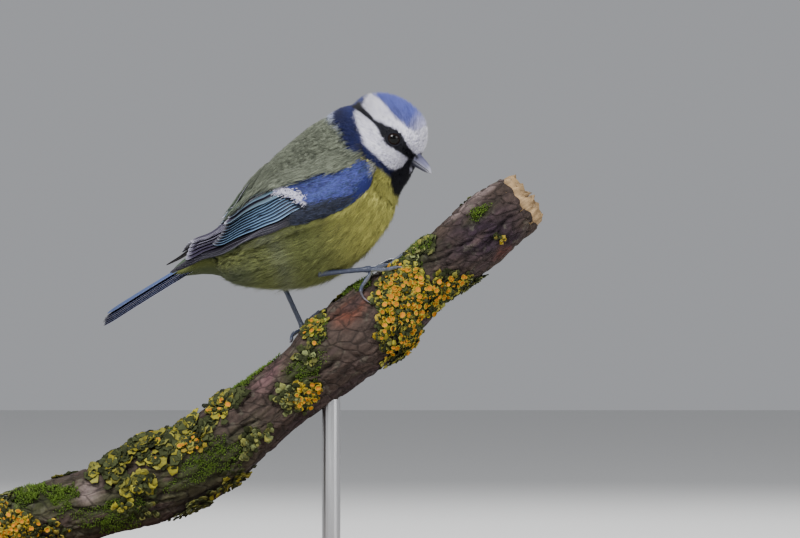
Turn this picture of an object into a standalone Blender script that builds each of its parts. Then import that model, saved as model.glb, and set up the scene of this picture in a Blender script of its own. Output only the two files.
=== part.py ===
"""A life-size blue tit on a broken branch, held over a flat base by two short rods.

The model is built in millimetres and stored in metres. +X is the way the bird faces, -Y is its
right side, +Z is up, and the origin is the centre of the underside of the base.
"""

import math

import bmesh
import bpy
import numpy as np
from mathutils import Matrix, Vector, noise

MM = 0.001
GAP = 0.3
SMOOTH_ANGLE = 40.0

# Bird, in millimetres and degrees
BODY_ROLL = 12.0
# Plumage rings from behind the tail root to the throat:
# centre x, centre z, lean of the ring, half depth back to belly, half width
BODY_RINGS = (
    (-28.6, 92.8, 35.0, 2.4, 5.6),
    (-22.0, 96.0, 33.0, 3.2, 5.8),
    (-16.2, 97.9, 31.0, 5.25, 7.6),
    (-9.8, 98.2, 27.0, 7.6, 10.0),
    (-3.9, 100.5, 22.5, 10.8, 12.4),
    (1.8, 104.4, 20.5, 15.0, 14.4),
    (7.6, 108.4, 21.5, 18.2, 15.7),
    (13.5, 112.2, 23.5, 19.2, 16.1),
    (18.9, 116.6, 25.5, 19.1, 15.9),
    (23.9, 121.6, 28.0, 18.0, 14.9),
    (28.2, 126.4, 30.5, 16.0, 13.3),
    (32.0, 129.8, 32.0, 12.7, 10.6),
)
# Places along BODY_RINGS, counted in rings
TAIL_CUT = 2.35
NECK_CUT = 8.6
HEAD_CUT = 10.15
BODY_START = 1.35
THROAT_END = 11.0
# Rounding of the throat under the bill: distance past the last ring, share of its size
THROAT_DOME = ((1.4, 0.94), (2.8, 0.84), (4.2, 0.68), (5.4, 0.44))
BODY_SIDES = 30
BODY_STEPS = 21

HEAD_CENTRE = (32.1, -0.6, 131.4)
HEAD_YAW = 16.0
HEAD_PITCH = 31.0
HEAD_ROLL = 6.0
HEAD_FORWARD = 12.4
HEAD_BACK = 12.0
HEAD_UP = 11.5
HEAD_DOWN = 10.8
HEAD_SIDE = 10.3

EYE_PLACE = (4.9, 8.5, 3.6)
EYE_RADIUS = 2.1
LID_RADIUS = 2.05
LID_THICKNESS = 0.42
LID_RISE = 1.4
EYE_BULGE = 1.1

BILL_ROOT = (8.6, 0.0, -0.1)
BILL_TIP = (16.6, 0.0, -0.6)
BILL_HALF_DEPTH = 2.25
BILL_HALF_WIDTH = 2.05

# Slit behind each corner of the bill: forward, sideways, up
GAPE_PLACE = (11.0, 2.7, -0.06)
GAPE_SIZE = (3.6, 2.2, 0.36)

TARSUS_RADIUS = 0.68
TOE_RADIUS = 0.62
CLAW_RADIUS = 0.45

VANE_THICKNESS = 0.5

# Branch: axis x, axis y, axis z, radius
BRANCH_RINGS = (
    (-77.5, 1.5, 22.6, 8.3),
    (-69.0, 1.2, 25.4, 8.6),
    (-57.0, 0.8, 28.6, 8.7),
    (-45.0, 0.3, 32.3, 8.9),
    (-34.0, 0.0, 36.4, 9.0),
    (-23.0, 0.0, 41.4, 8.7),
    (-12.0, 0.2, 48.0, 8.6),
    (-1.4, 0.4, 56.3, 8.6),
    (9.5, 0.2, 65.2, 8.9),
    (20.0, 0.0, 73.6, 9.8),
    (29.0, 0.0, 81.4, 10.3),
    (37.0, 0.0, 88.2, 9.3),
    (45.5, -0.2, 95.4, 8.7),
    (54.0, -0.5, 102.2, 8.6),
    (62.0, -0.8, 108.6, 8.5),
    (69.5, -1.2, 114.2, 7.9),
)
BRANCH_SIDES = 20
BRANCH_STEPS = 40

BASE_LENGTH = 156.0
BASE_WIDTH = 92.0
BASE_HEIGHT = 9.0
BASE_CORNER = 7.0
ROD_RADIUS = 2.5
ROD_X = (-52.0, 18.0)
ROD_SOCKET = 3.0


def smooth_rows(rows, t):
    """Values at place t, counted in rows, on a Catmull-Rom curve through the rows."""
    rows = np.asarray(rows, float)
    t = min(max(t, 0.0), len(rows) - 1.0)
    i = min(int(t), len(rows) - 2)
    u = t - i
    before = rows[i - 1] if i > 0 else 2 * rows[0] - rows[1]
    after = rows[i + 2] if i + 2 < len(rows) else 2 * rows[-1] - rows[-2]
    first, second = rows[i], rows[i + 1]
    return 0.5 * (
        2 * first
        + (second - before) * u
        + (2 * before - 5 * first + 4 * second - after) * u ** 2
        + (3 * first - before - 3 * second + after) * u ** 3
    )


def body_ring(place):
    """Centre, towards the back, towards the bird's right, half depth and half width of a ring."""
    x, z, lean, depth, width = smooth_rows(BODY_RINGS, place)
    lean = math.radians(lean)
    roll = math.radians(BODY_ROLL)
    back = Vector((-math.sin(lean), 0.0, math.cos(lean)))
    right = Vector((0.0, -1.0, 0.0))
    back, right = (
        back * math.cos(roll) + right * math.sin(roll),
        right * math.cos(roll) - back * math.sin(roll),
    )
    return Vector((x, 0.0, z)), back, right, depth, width


def body_point(place, turn, lift=0.0):
    """A point of the plumage: turn is 0 on the back, 90 on the right side and 180 on the belly."""
    centre, back, right, depth, width = body_ring(place)
    c, s = math.cos(math.radians(turn)), math.sin(math.radians(turn))
    outward = Vector((c / depth, s / width)).normalized()
    return centre + back * (depth * c + lift * outward[0]) + right * (width * s + lift * outward[1])


def ring_plane(place):
    """The centre of a ring, and the direction from it towards the head."""
    centre, back, right, _, _ = body_ring(place)
    return centre, back.cross(right)


def body_radius(place, turn):
    """How far the plumage is from its axis there."""
    centre, _, _, _, _ = body_ring(place)
    return (body_point(place, turn) - centre).length


def head_axes():
    """The head's forward, right and up directions."""
    yaw, pitch, roll = (math.radians(a) for a in (HEAD_YAW, HEAD_PITCH, HEAD_ROLL))
    up = Vector((0, 0, 1))
    forward = Vector((math.cos(yaw), -math.sin(yaw), 0))
    right = Vector((-math.sin(yaw), -math.cos(yaw), 0))
    forward, up = (
        forward * math.cos(pitch) - up * math.sin(pitch),
        forward * math.sin(pitch) + up * math.cos(pitch),
    )
    right, up = (
        right * math.cos(roll) - up * math.sin(roll),
        up * math.cos(roll) + right * math.sin(roll),
    )
    return forward, right, up


def head_point(place, side=1):
    """A point given forward, to the side and up from the head's centre. side is 1 on the right."""
    forward, right, up = head_axes()
    return Vector(HEAD_CENTRE) + forward * place[0] + right * (place[1] * side) + up * place[2]


def new_material(name, colour, roughness, metallic=0.0):
    material = bpy.data.materials.new(name)
    material.use_nodes = True
    shader = material.node_tree.nodes["Principled BSDF"]
    shader.inputs["Base Color"].default_value = (*colour, 1.0)
    shader.inputs["Roughness"].default_value = roughness
    shader.inputs["Metallic"].default_value = metallic
    return material


def add_object(name, mesh, material, collection):
    """An object for a mesh that is given in metres."""
    obj = bpy.data.objects.new(name, mesh)
    collection.objects.link(obj)
    obj.data.materials.clear()
    if material is not None:
        obj.data.materials.append(material)
    return obj


def mesh_from(bm, name):
    """Stores a bmesh made in millimetres as a mesh in metres, with its faces pointing out."""
    bmesh.ops.recalc_face_normals(bm, faces=bm.faces)
    bmesh.ops.scale(bm, vec=(MM, MM, MM), verts=bm.verts)
    mesh = bpy.data.meshes.new(name)
    bm.to_mesh(mesh)
    bm.free()
    return mesh


def loft(bm, rings):
    """Joins rings of points that have equal counts, and closes both ends with a fan."""
    made = [[bm.verts.new(point) for point in ring] for ring in rings]
    count = len(rings[0])
    for ring, following in zip(made, made[1:]):
        for k in range(count):
            n = (k + 1) % count
            bm.faces.new((ring[k], ring[n], following[n]))
            bm.faces.new((ring[k], following[n], following[k]))
    for ring in (made[0], made[-1]):
        middle = bm.verts.new(sum((v.co for v in ring), Vector()) / count)
        for k in range(count):
            bm.faces.new((ring[k], ring[(k + 1) % count], middle))


def keep_side(mesh, point, normal):
    """The closed part of a mesh in metres that lies behind a plane given in millimetres."""
    bm = bmesh.new()
    bm.from_mesh(mesh)
    geometry = bm.verts[:] + bm.edges[:] + bm.faces[:]
    cut = bmesh.ops.bisect_plane(
        bm, geom=geometry, plane_co=Vector(point) * MM, plane_no=normal, clear_outer=True
    )
    rim = [e for e in cut["geom_cut"] if isinstance(e, bmesh.types.BMEdge)]
    bmesh.ops.triangle_fill(bm, edges=rim, use_beauty=True, use_dissolve=False)
    bmesh.ops.recalc_face_normals(bm, faces=bm.faces)
    part = bpy.data.meshes.new(mesh.name)
    bm.to_mesh(part)
    bm.free()
    return part


def keep_largest(mesh):
    """Drops every closed surface of a mesh but the largest one."""
    bm = bmesh.new()
    bm.from_mesh(mesh)
    bm.verts.ensure_lookup_table()
    left = set(bm.verts)
    groups = []
    while left:
        todo = [left.pop()]
        group = set(todo)
        while todo:
            for edge in todo.pop().link_edges:
                for vert in edge.verts:
                    if vert in left:
                        left.remove(vert)
                        group.add(vert)
                        todo.append(vert)
        groups.append(group)
    largest = max(groups, key=len)
    bmesh.ops.delete(bm, geom=[v for v in bm.verts if v not in largest], context="VERTS")
    bm.to_mesh(mesh)
    bm.free()


def settle(obj):
    """Replaces an object's mesh by its evaluated one, and clears its modifiers."""
    graph = bpy.context.evaluated_depsgraph_get()
    mesh = bpy.data.meshes.new_from_object(obj.evaluated_get(graph))
    obj.modifiers.clear()
    obj.data = mesh


def join_pieces(obj, pieces, solver="EXACT"):
    """Unites closed mesh objects with obj in one Boolean, and removes them."""
    group = bpy.data.collections.new(obj.name + "_pieces")
    bpy.context.scene.collection.children.link(group)
    for piece in pieces:
        for owner in piece.users_collection:
            owner.objects.unlink(piece)
        group.objects.link(piece)
    union = obj.modifiers.new("union", "BOOLEAN")
    union.operation = "UNION"
    union.operand_type = "COLLECTION"
    union.collection = group
    union.solver = solver
    settle(obj)
    for piece in pieces:
        bpy.data.objects.remove(piece)
    bpy.data.collections.remove(group)
    keep_largest(obj.data)


def cut_away(obj, cutters, solver="EXACT"):
    """Cuts closed mesh objects out of obj, and removes them."""
    for cutter in cutters:
        cut = obj.modifiers.new("cut", "BOOLEAN")
        cut.operation = "DIFFERENCE"
        cut.object = cutter
        cut.solver = solver
        settle(obj)
        bpy.data.objects.remove(cutter)
    keep_largest(obj.data)


def tube(name, points, radii, material, collection, sides=8, grow=0.0):
    """A round tube with filled ends along points, made from a curve and turned into a mesh."""
    curve = bpy.data.curves.new(name, "CURVE")
    curve.dimensions = "3D"
    curve.bevel_depth = MM
    curve.bevel_resolution = sides // 2 - 2
    curve.use_fill_caps = True
    spline = curve.splines.new("POLY")
    spline.points.add(len(points) - 1)
    for place, point, radius in zip(spline.points, points, radii):
        place.co = (*(Vector(point) * MM), 1.0)
        place.radius = radius + grow
    wire = bpy.data.objects.new(name, curve)
    bpy.context.scene.collection.objects.link(wire)
    bpy.context.view_layer.update()
    graph = bpy.context.evaluated_depsgraph_get()
    mesh = bpy.data.meshes.new_from_object(wire.evaluated_get(graph))
    bm = bmesh.new()
    bm.from_mesh(mesh)
    bmesh.ops.remove_doubles(bm, verts=bm.verts, dist=MM * 0.02)
    bmesh.ops.recalc_face_normals(bm, faces=bm.faces)
    bm.to_mesh(mesh)
    bm.free()
    solid = add_object(name + "_solid", mesh, material, collection)
    solid.matrix_world = wire.matrix_world
    bpy.data.objects.remove(wire)
    solid.name = name
    return solid


def smooth_path(points, steps):
    """A smooth line through points, with steps places for each stretch between two of them."""
    total = (len(points) - 1) * steps
    return [Vector(smooth_rows(points, i / steps)) for i in range(total + 1)]


def body_form():
    """Head, neck and torso as one closed surface, before it is parted."""
    bm = bmesh.new()
    rings = []
    for i in range(BODY_STEPS + 1):
        place = BODY_START + (THROAT_END - BODY_START) * i / BODY_STEPS
        rings.append([body_point(place, 360.0 * k / BODY_SIDES) for k in range(BODY_SIDES)])
    centre, forward = ring_plane(THROAT_END)
    for past, share in THROAT_DOME:
        rings.append([centre + (point - centre) * share + forward * past for point in rings[BODY_STEPS]])
    loft(bm, rings)
    return mesh_from(bm, "body")


def dent(direction, place, reach):
    """1 at a place on the unit sphere, falling smoothly to 0 at reach degrees from it."""
    angle = math.degrees(direction.angle(Vector(place)))
    share = max(0.0, 1.0 - (angle / reach) ** 2)
    return share * share


def head_surface(direction):
    """The head's plumage in a direction given forward, right and up, from its centre."""
    forward, right, up = direction
    reach = (
        HEAD_FORWARD if forward > 0 else HEAD_BACK,
        HEAD_SIDE,
        HEAD_UP if up > 0 else HEAD_DOWN,
    )
    power = 2.15
    total = sum(abs(part / size) ** power for part, size in zip(direction, reach))
    radius = total ** (-1.0 / power)
    for side in (1, -1):
        radius -= 0.55 * dent(direction, (EYE_PLACE[0], EYE_PLACE[1] * side, EYE_PLACE[2]), 20)
        radius += 0.6 * dent(direction, (2.0, 9.0 * side, -4.5), 45)
        radius -= 0.5 * dent(direction, (10.0, 4.0 * side, 0.5), 22)
    radius -= 1.5 * dent(direction, (12.0, 0.0, -0.2), 22)
    radius += 0.9 * dent(direction, (8.0, 0.0, -6.8), 34)
    return direction * radius


def head_form():
    """The head alone, in the row's frame."""
    bm = bmesh.new()
    bmesh.ops.create_uvsphere(bm, u_segments=30, v_segments=20, radius=1.0)
    for vert in bm.verts:
        vert.co = head_point(head_surface(vert.co.normalized()))
    return mesh_from(bm, "head_form")


def ball(name, centre, radius, material, collection, segments=16):
    bm = bmesh.new()
    bmesh.ops.create_uvsphere(bm, u_segments=segments, v_segments=segments // 2, radius=radius)
    bmesh.ops.translate(bm, vec=centre, verts=bm.verts)
    return add_object(name, mesh_from(bm, name), material, collection)


def eye_centre(side):
    return head_point(EYE_PLACE, side) - eye_outward(side) * (EYE_RADIUS - EYE_BULGE)


def eye_outward(side):
    forward, right, up = head_axes()
    return (forward * 0.42 + right * (0.88 * side) + up * 0.2).normalized()


def lid_ring(name, side, material, collection):
    """The bare rim of the eyelids."""
    centre, outward = eye_centre(side), eye_outward(side)
    bm = bmesh.new()
    turns, rounds = 18, 6
    across = outward.orthogonal().normalized()
    along = outward.cross(across)
    rings = []
    for i in range(turns):
        angle = math.tau * i / turns
        out = across * math.cos(angle) + along * math.sin(angle)
        middle = centre + outward * LID_RISE + out * LID_RADIUS
        rings.append(
            [
                bm.verts.new(
                    middle
                    + out * (LID_THICKNESS * math.cos(math.tau * k / rounds))
                    + outward * (LID_THICKNESS * math.sin(math.tau * k / rounds))
                )
                for k in range(rounds)
            ]
        )
    for i, ring in enumerate(rings):
        following = rings[(i + 1) % turns]
        for k in range(rounds):
            n = (k + 1) % rounds
            bm.faces.new((ring[k], ring[n], following[n], following[k]))
    return add_object(name, mesh_from(bm, name), material, collection)


def bill_section(share, half, grow):
    """A half section of the bill, share of the way from root to tip. half is 1 above the gape."""
    root, tip = Vector(BILL_ROOT), Vector(BILL_TIP)
    middle = root.lerp(tip, share)
    taper = math.sqrt(max(0.0, 1.0 - share ** 1.35))
    depth = max(0.18, BILL_HALF_DEPTH * taper) + grow
    width = max(0.18, BILL_HALF_WIDTH * taper ** 1.2) + grow
    if half < 0:
        depth *= 0.8
    droop = 0.35 * share ** 2
    points = []
    for k in range(7):
        angle = math.pi * k / 6
        side, rise = width * math.cos(angle), depth * math.sin(angle) * half
        points.append(head_point((middle.x, side, middle.z - droop + rise)))
    for side in (-0.5 * width, 0.0, 0.5 * width):
        points.append(head_point((middle.x, side, middle.z - droop + half * GAP / 2)))
    return [p + head_axes()[2] * (half * GAP / 2) for p in points[:7]] + points[7:]


def bill_half(name, half, material, collection):
    bm = bmesh.new()
    shares = (0.0, 0.3, 0.55, 0.75, 0.9, 1.0)
    loft(bm, [bill_section(share, half, 0.0) for share in shares])
    return add_object(name, mesh_from(bm, name), material, collection)


def bill_socket(collection):
    """The hole in the head that the bill's root sits in."""
    bm = bmesh.new()
    rings = []
    for share in (-0.04, 0.3, 0.6):
        middle = Vector(BILL_ROOT).lerp(Vector(BILL_TIP), share)
        taper = math.sqrt(max(0.0, 1.0 - max(share, 0.0) ** 1.35))
        depth = BILL_HALF_DEPTH * taper + GAP * 1.5
        width = BILL_HALF_WIDTH * taper ** 1.2 + GAP
        rings.append(
            [
                head_point(
                    (
                        middle.x,
                        width * math.cos(math.tau * k / 16),
                        middle.z - 0.04 + depth * math.sin(math.tau * k / 16),
                    )
                )
                for k in range(16)
            ]
        )
    loft(bm, rings)
    return add_object("bill_socket", mesh_from(bm, "bill_socket"), None, collection)


def gape_slit(side, collection):
    """The line of the mouth, running back into the feathers from the corner of the bill."""
    bm = bmesh.new()
    bmesh.ops.create_cube(bm, size=1.0)
    for vert in bm.verts:
        forward, out, rise = vert.co
        place = (GAPE_PLACE[i] + GAPE_SIZE[i] * (forward, out, rise)[i] for i in range(3))
        vert.co = head_point(tuple(place), side)
    return add_object("gape", mesh_from(bm, "gape"), None, collection)


def vane(bm, line, widths, ups, across_of, thickness=VANE_THICKNESS):
    """A feather's flat vane: a strip along line, split into like triangles on both faces."""
    rows = []
    for point, width, up, across in zip(line, widths, ups, across_of):
        low, high = point - across * width, point + across * width
        half = up * (thickness / 2)
        rows.append([bm.verts.new(p) for p in (low + half, high + half, high - half, low - half)])
    for row, following in zip(rows, rows[1:]):
        a, b, c, d = row
        e, f, g, h = following
        for near, far, next_far, next_near in ((a, b, f, e), (c, d, h, g), (b, c, g, f), (d, a, e, h)):
            bm.faces.new((near, far, next_far))
            bm.faces.new((near, next_far, next_near))
    for a, b, c, d in (rows[0], rows[-1]):
        bm.faces.new((a, b, c))
        bm.faces.new((a, c, d))


LONG_STATIONS = (0.0, 0.2, 0.4, 0.6, 0.8, 0.94, 1.0)
SHORT_STATIONS = (0.0, 0.5, 0.86, 1.0)


def vane_width(share, half_width, tip_round):
    """Half width of a vane along its length: narrow at the root, rounded at the tip."""
    base = 0.6 + 0.4 * min(1.0, share / 0.3)
    end = max(0.0, (share - (1 - tip_round)) / tip_round)
    return max(0.16, half_width * base * math.sqrt(max(0.0, 1 - end ** 2.2)))


def wing_vane(name, side, path, half_width, lifts, tilt, material, collection):
    """A feather laid along a path of places and turns, its lower edge lifted by the tilt."""
    stations = LONG_STATIONS if len(path) > 3 else SHORT_STATIONS
    bm = bmesh.new()
    line, widths, ups, acrosses = [], [], [], []
    for share in stations:
        place, turn = smooth_rows(path, (len(path) - 1) * share)
        lift = lifts[0] + (lifts[1] - lifts[0]) * share
        width = vane_width(share, half_width, 0.3)
        step = math.degrees(width / (body_radius(place, turn) + lift))
        low = body_point(place, (turn + step) * side, lift + tilt * width)
        high = body_point(place, (turn - step) * side, lift - tilt * width)
        across = (high - low).normalized()
        along = body_point(place - 0.05, turn * side, lift) - body_point(place + 0.05, turn * side, lift)
        line.append((low + high) / 2)
        widths.append((high - low).length / 2)
        ups.append(along.cross(across).normalized() * side)
        acrosses.append(across)
    vane(bm, line, widths, ups, acrosses)
    return add_object(name, mesh_from(bm, name), material, collection)


# Wing pad: place, lowest turn, highest turn, thickness in the middle
WING_PAD = (
    (5.9, 80.0, 48.0, 0.9),
    (6.4, 84.0, 50.0, 1.5),
    (7.1, 88.0, 57.0, 1.9),
    (7.9, 93.0, 65.0, 2.1),
    (8.7, 97.0, 70.0, 2.0),
    (9.3, 98.0, 76.0, 1.6),
    (9.7, 94.0, 83.0, 0.9),
)


def wing_pad(name, side, material, collection):
    """The folded arm under its small coverts, lying on the plumage."""
    bm = bmesh.new()
    rings = []
    steps = 6
    for i in range(2 * len(WING_PAD) - 1):
        place, low, high, thick = smooth_rows(WING_PAD, i / 2)
        turns = [low + (high - low) * k / steps for k in range(steps + 1)]
        outer = [
            body_point(place, turn * side, GAP + 0.35 + thick * math.sin(math.pi * k / steps) ** 0.7)
            for k, turn in enumerate(turns)
        ]
        inner = [body_point(place, turn * side, GAP) for turn in reversed(turns)]
        rings.append(outer + inner)
    loft(bm, rings)
    return add_object(name, mesh_from(bm, name), material, collection)


def between(first, last, share):
    """Blends two paths of equal length."""
    return [tuple(a + (b - a) * share for a, b in zip(p, q)) for p, q in zip(first, last)]


# Feather groups of the folded wing: count, the lowest and the highest feather's path from root to
# tip, each point a place and a turn, then half width, lifts at root and tip, and tilt
WING_FEATHERS = {
    "primary": (
        6,
        ((6.58, 80.0), (5.13, 70.5), (3.67, 54.5), (2.07, 58.2), (0.4, 70.0)),
        ((6.65, 73.0), (5.57, 67.2), (4.48, 56.0), (3.4, 45.5), (2.1, 49.5)),
        1.7,
        (1.6, 1.6),
        0.3,
    ),
    "secondary": (
        5,
        ((6.62, 70.2), (5.65, 64.5), (4.68, 54.5), (3.73, 44.5), (2.7, 40.5)),
        ((5.95, 52.0), (5.3, 45.0), (4.68, 36.0), (4.1, 27.5), (3.5, 22.0)),
        2.0,
        (1.9, 2.2),
        0.3,
    ),
    "tertial": (
        3,
        ((6.2, 53.0), (5.5, 46.5), (4.8, 38.0), (4.2, 29.5), (3.6, 24.0)),
        ((6.1, 41.0), (5.6, 35.2), (5.1, 28.0), (4.6, 21.5), (4.1, 17.5)),
        2.2,
        (2.3, 2.8),
        0.25,
    ),
    "greater_covert": (
        7, ((8.2, 85), (7.55, 80), (6.86, 75.5)), ((7.3, 60), (6.6, 55), (5.85, 49)), 1.6, (1.6, 2.2), 0.25
    ),
    "primary_covert": (
        3, ((7.9, 90), (7.1, 85.5), (6.4, 81)), ((7.8, 86), (7.2, 81), (6.5, 76.5)), 1.3, (1.5, 1.9), 0.25
    ),
    "alula": (
        2, ((8.8, 96), (8.0, 91.5), (7.1, 87)), ((8.7, 92), (8.0, 88), (7.3, 83.5)), 1.2, (1.8, 2.3), 0.2
    ),
}


def wing(name, side, material, collection):
    """A folded wing: the arm pad and its flight feathers and coverts, joined at their roots."""
    body = wing_pad(name, side, material, collection)
    pieces = []
    for group, (count, lowest, highest, width, lifts, tilt) in WING_FEATHERS.items():
        for i in range(count):
            path = between(lowest, highest, i / (count - 1))
            label = f"{name}_{group}_{i}"
            pieces.append(wing_vane(label, side, path, width, lifts, tilt, material, collection))
    join_pieces(body, pieces)
    return body


TAIL_LENGTH = 31.6
TAIL_SLOPE = 29.8
TAIL_ROLL = 9.0
TAIL_PAIRS = 6


def tail_feather(name, pair, side, material, collection):
    """One tail feather. Pair 0 is the central pair, which lies on top."""
    centre, back, right, _, _ = body_ring(1.9)
    slope = math.radians(TAIL_SLOPE)
    roll = math.radians(TAIL_ROLL)
    along = Vector((-math.cos(slope), 0, -math.sin(slope)))
    up = Vector((-math.sin(slope), 0, math.cos(slope)))
    across = Vector((0, -1, 0))
    up, across = (
        up * math.cos(roll) + across * math.sin(roll),
        across * math.cos(roll) - up * math.sin(roll),
    )
    length = TAIL_LENGTH - 0.35 * (TAIL_PAIRS - pair) + (0.6 if pair > 1 else 0.0)
    out_root, out_tip = 0.35 + 0.42 * pair, 0.6 + 0.62 * pair
    # Left feathers lie a little under the right ones
    drop = 0.3 * pair + (0.13 if side < 0 else 0.0)
    bm = bmesh.new()
    line, widths, ups, acrosses = [], [], [], []
    for share in LONG_STATIONS:
        out = out_root + (out_tip - out_root) * share
        fall = 0.8 * share ** 2
        point = centre + along * (length * share) + across * (out * side) + up * (1.8 - drop - fall)
        width = vane_width(share, 2.35, 0.22) * (0.75 + 0.25 * share)
        lean = (across * side - up * 0.24).normalized()
        line.append(point)
        widths.append(width)
        acrosses.append(lean)
        ups.append(along.cross(lean).normalized() * -side)
    vane(bm, line, widths, ups, acrosses)
    return add_object(name, mesh_from(bm, name), material, collection)


def tail(name, material, collection):
    """The tail root under its coverts, with twelve overlapping feathers."""
    bm = bmesh.new()
    sides = 20
    places = (0.55, 0.8, 1.2, 1.6, 2.0, TAIL_CUT - GAP / 12.5)
    rings = []
    for place in places:
        shrink = 0.62 if place < 0.7 else 1.0
        centre, back, right, depth, width = body_ring(place)
        rings.append(
            [
                centre
                + back * (depth * shrink * math.cos(math.tau * k / sides))
                + right * (width * shrink * 0.86 * math.sin(math.tau * k / sides))
                for k in range(sides)
            ]
        )
    loft(bm, rings)
    body = add_object(name, mesh_from(bm, name), material, collection)
    pieces = []
    for pair in range(TAIL_PAIRS):
        for side in (1, -1):
            pieces.append(tail_feather(f"{name}_{pair}_{side}", pair, side, material, collection))
    join_pieces(body, pieces)
    return body


def branch_frame(place):
    """Centre, up and right directions, and radius of the branch at a place counted in rings."""
    x, y, z, radius = smooth_rows(BRANCH_RINGS, place)
    ahead = smooth_rows(BRANCH_RINGS, min(place + 0.1, len(BRANCH_RINGS) - 1))
    behind = smooth_rows(BRANCH_RINGS, max(place - 0.1, 0))
    along = Vector(ahead[:3] - behind[:3]).normalized()
    right = Vector((0, -1, 0))
    up = right.cross(along).normalized() * -1
    if up.z < 0:
        up = -up
    right = (right - along * right.dot(along)).normalized()
    return Vector((x, y, z)), along, up, right, radius


# Swellings of the bark: place, turn, height, reach along in rings, reach around in degrees
BRANCH_KNOTS = (
    (8.9, 8.0, 1.5, 0.5, 45.0),
    (9.6, 100.0, 1.4, 0.9, 60.0),
    (10.3, 178.0, 1.5, 0.7, 50.0),
    (6.4, 150.0, 1.2, 0.7, 40.0),
    (4.1, 175.0, 1.4, 0.8, 45.0),
    (13.6, 40.0, 1.1, 0.9, 35.0),
    (13.4, 190.0, 1.2, 0.8, 40.0),
    (2.0, 20.0, 0.9, 0.9, 50.0),
    (4.5, 2.0, 3.2, 1.0, 60.0),
    (6.3, 5.0, 2.0, 0.8, 60.0),
    (5.4, 182.0, 2.6, 0.9, 50.0),
)


def branch_radius(place, turn):
    """The bark's distance from the axis: a slow wander and a few swellings."""
    _, _, _, _, radius = branch_frame(place)
    angle = math.radians(turn)
    radius *= 1.0 + 0.035 * math.sin(2 * angle + 0.9 * place) + 0.025 * math.sin(3 * angle - 1.7 * place)
    for at, around, height, reach, wide in BRANCH_KNOTS:
        off = (turn - around + 180.0) % 360.0 - 180.0
        radius += height * math.exp(-((place - at) / reach) ** 2 - (off / wide) ** 2)
    return radius


def branch_point(place, turn, lift=0.0):
    """A point over the bark: turn is 0 on top and 90 on the side towards -Y."""
    centre, _, up, right, _ = branch_frame(place)
    radius = branch_radius(place, turn) + lift
    angle = math.radians(turn)
    return centre + up * (radius * math.cos(angle)) + right * (radius * math.sin(angle))


# Rings past the end of the bark: share of its radius, seed, distance, raggedness
SNAPPED_RINGS = ((0.97, 1.7, 2.4, 3.0), (0.72, 3.1, 1.4, 2.4), (0.4, 5.9, 2.6, 2.4))


def branch(name, material, collection):
    """The perch: an uneven limb, sawn at its low end and snapped at its high end."""
    bm = bmesh.new()
    last = len(BRANCH_RINGS) - 1
    rings = []
    for i in range(BRANCH_STEPS + 1):
        place = last * i / BRANCH_STEPS
        rings.append([branch_point(place, 360.0 * k / BRANCH_SIDES) for k in range(BRANCH_SIDES)])
    # The snapped end: torn bark, then a splintered core
    centre, along, _, _, _ = branch_frame(last)
    for inward, seed, push, ragged in SNAPPED_RINGS:
        ring = []
        for k in range(BRANCH_SIDES):
            point = branch_point(last, 360.0 * k / BRANCH_SIDES)
            reach = push + ragged * noise.noise(Vector((k * 0.83, seed, 0.4)))
            ring.append(centre + (point - centre) * inward + along * reach)
        rings.append(ring)
    loft(bm, rings)
    return add_object(name, mesh_from(bm, name), material, collection)


def over_branch(point, clearance):
    """The point moved straight out from the branch's axis until it clears the bark."""
    best, nearest = None, 1e9
    for i in range(601):
        place = 15.0 * i / 600
        centre, _, _, _, _ = branch_frame(place)
        gap = (point - centre).length
        if gap < nearest:
            best, nearest = place, gap
    centre, _, up, right, _ = branch_frame(best)
    out = point - centre
    turn = math.degrees(math.atan2(out.dot(right), out.dot(up)))
    need = branch_radius(best, turn) + clearance
    if nearest >= need:
        return point
    return centre + out.normalized() * need


# Toes and claws of each foot: points from the foot's joint, in millimetres, then where the claw starts
FEET = {
    "right": {
        "joint": (28.7, -5.0, 96.0),
        "hip": (15.5, -6.6, 94.8),
        "toes": (
            ((28.7, -5.0, 96.0), (28.4, -5.0, 94.3), (27.2, -5.6, 92.5), (26.1, -7.0, 90.4),
             (26.9, -9.2, 88.2), (28.8, -10.6, 86.7)),
            ((28.9, -5.2, 95.9), (31.4, -6.0, 95.8), (33.6, -6.8, 96.0), (35.4, -7.4, 96.4),
             (37.2, -8.2, 96.4), (38.2, -8.8, 95.2)),
            ((28.9, -5.0, 96.0), (31.6, -4.4, 96.6), (34.8, -3.8, 97.6), (37.4, -3.4, 99.4),
             (39.6, -3.4, 100.6), (41.0, -3.6, 99.8)),
            ((28.9, -4.8, 96.0), (31.0, -2.0, 96.8), (33.2, 0.8, 98.0), (34.6, 3.0, 98.4),
             (35.6, 5.0, 98.0), (36.0, 6.2, 96.6)),
        ),
    },
    "left": {
        "joint": (10.5, 4.6, 79.4),
        "hip": (3.8, 6.2, 94.0),
        "toes": (
            ((10.5, 4.6, 79.4), (8.8, 3.4, 79.0), (7.6, 2.2, 78.2), (7.2, 1.0, 77.0),
             (7.7, -0.6, 75.0), (9.4, -2.4, 73.4)),
            ((10.7, 4.4, 79.2), (12.4, 3.0, 78.8), (14.4, 2.4, 80.0), (16.4, 2.2, 81.6),
             (18.2, 2.2, 82.8), (19.4, 2.4, 82.0)),
            ((10.7, 4.8, 79.2), (13.0, 5.8, 79.2), (15.8, 6.6, 80.2), (18.4, 7.2, 81.2),
             (20.4, 8.0, 81.6), (21.4, 8.8, 80.4)),
            ((10.7, 5.0, 79.2), (12.0, 7.4, 78.6), (13.8, 9.2, 78.2), (15.4, 10.4, 77.6),
             (16.6, 11.2, 76.4), (16.8, 11.6, 75.0)),
        ),
    },
}


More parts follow.
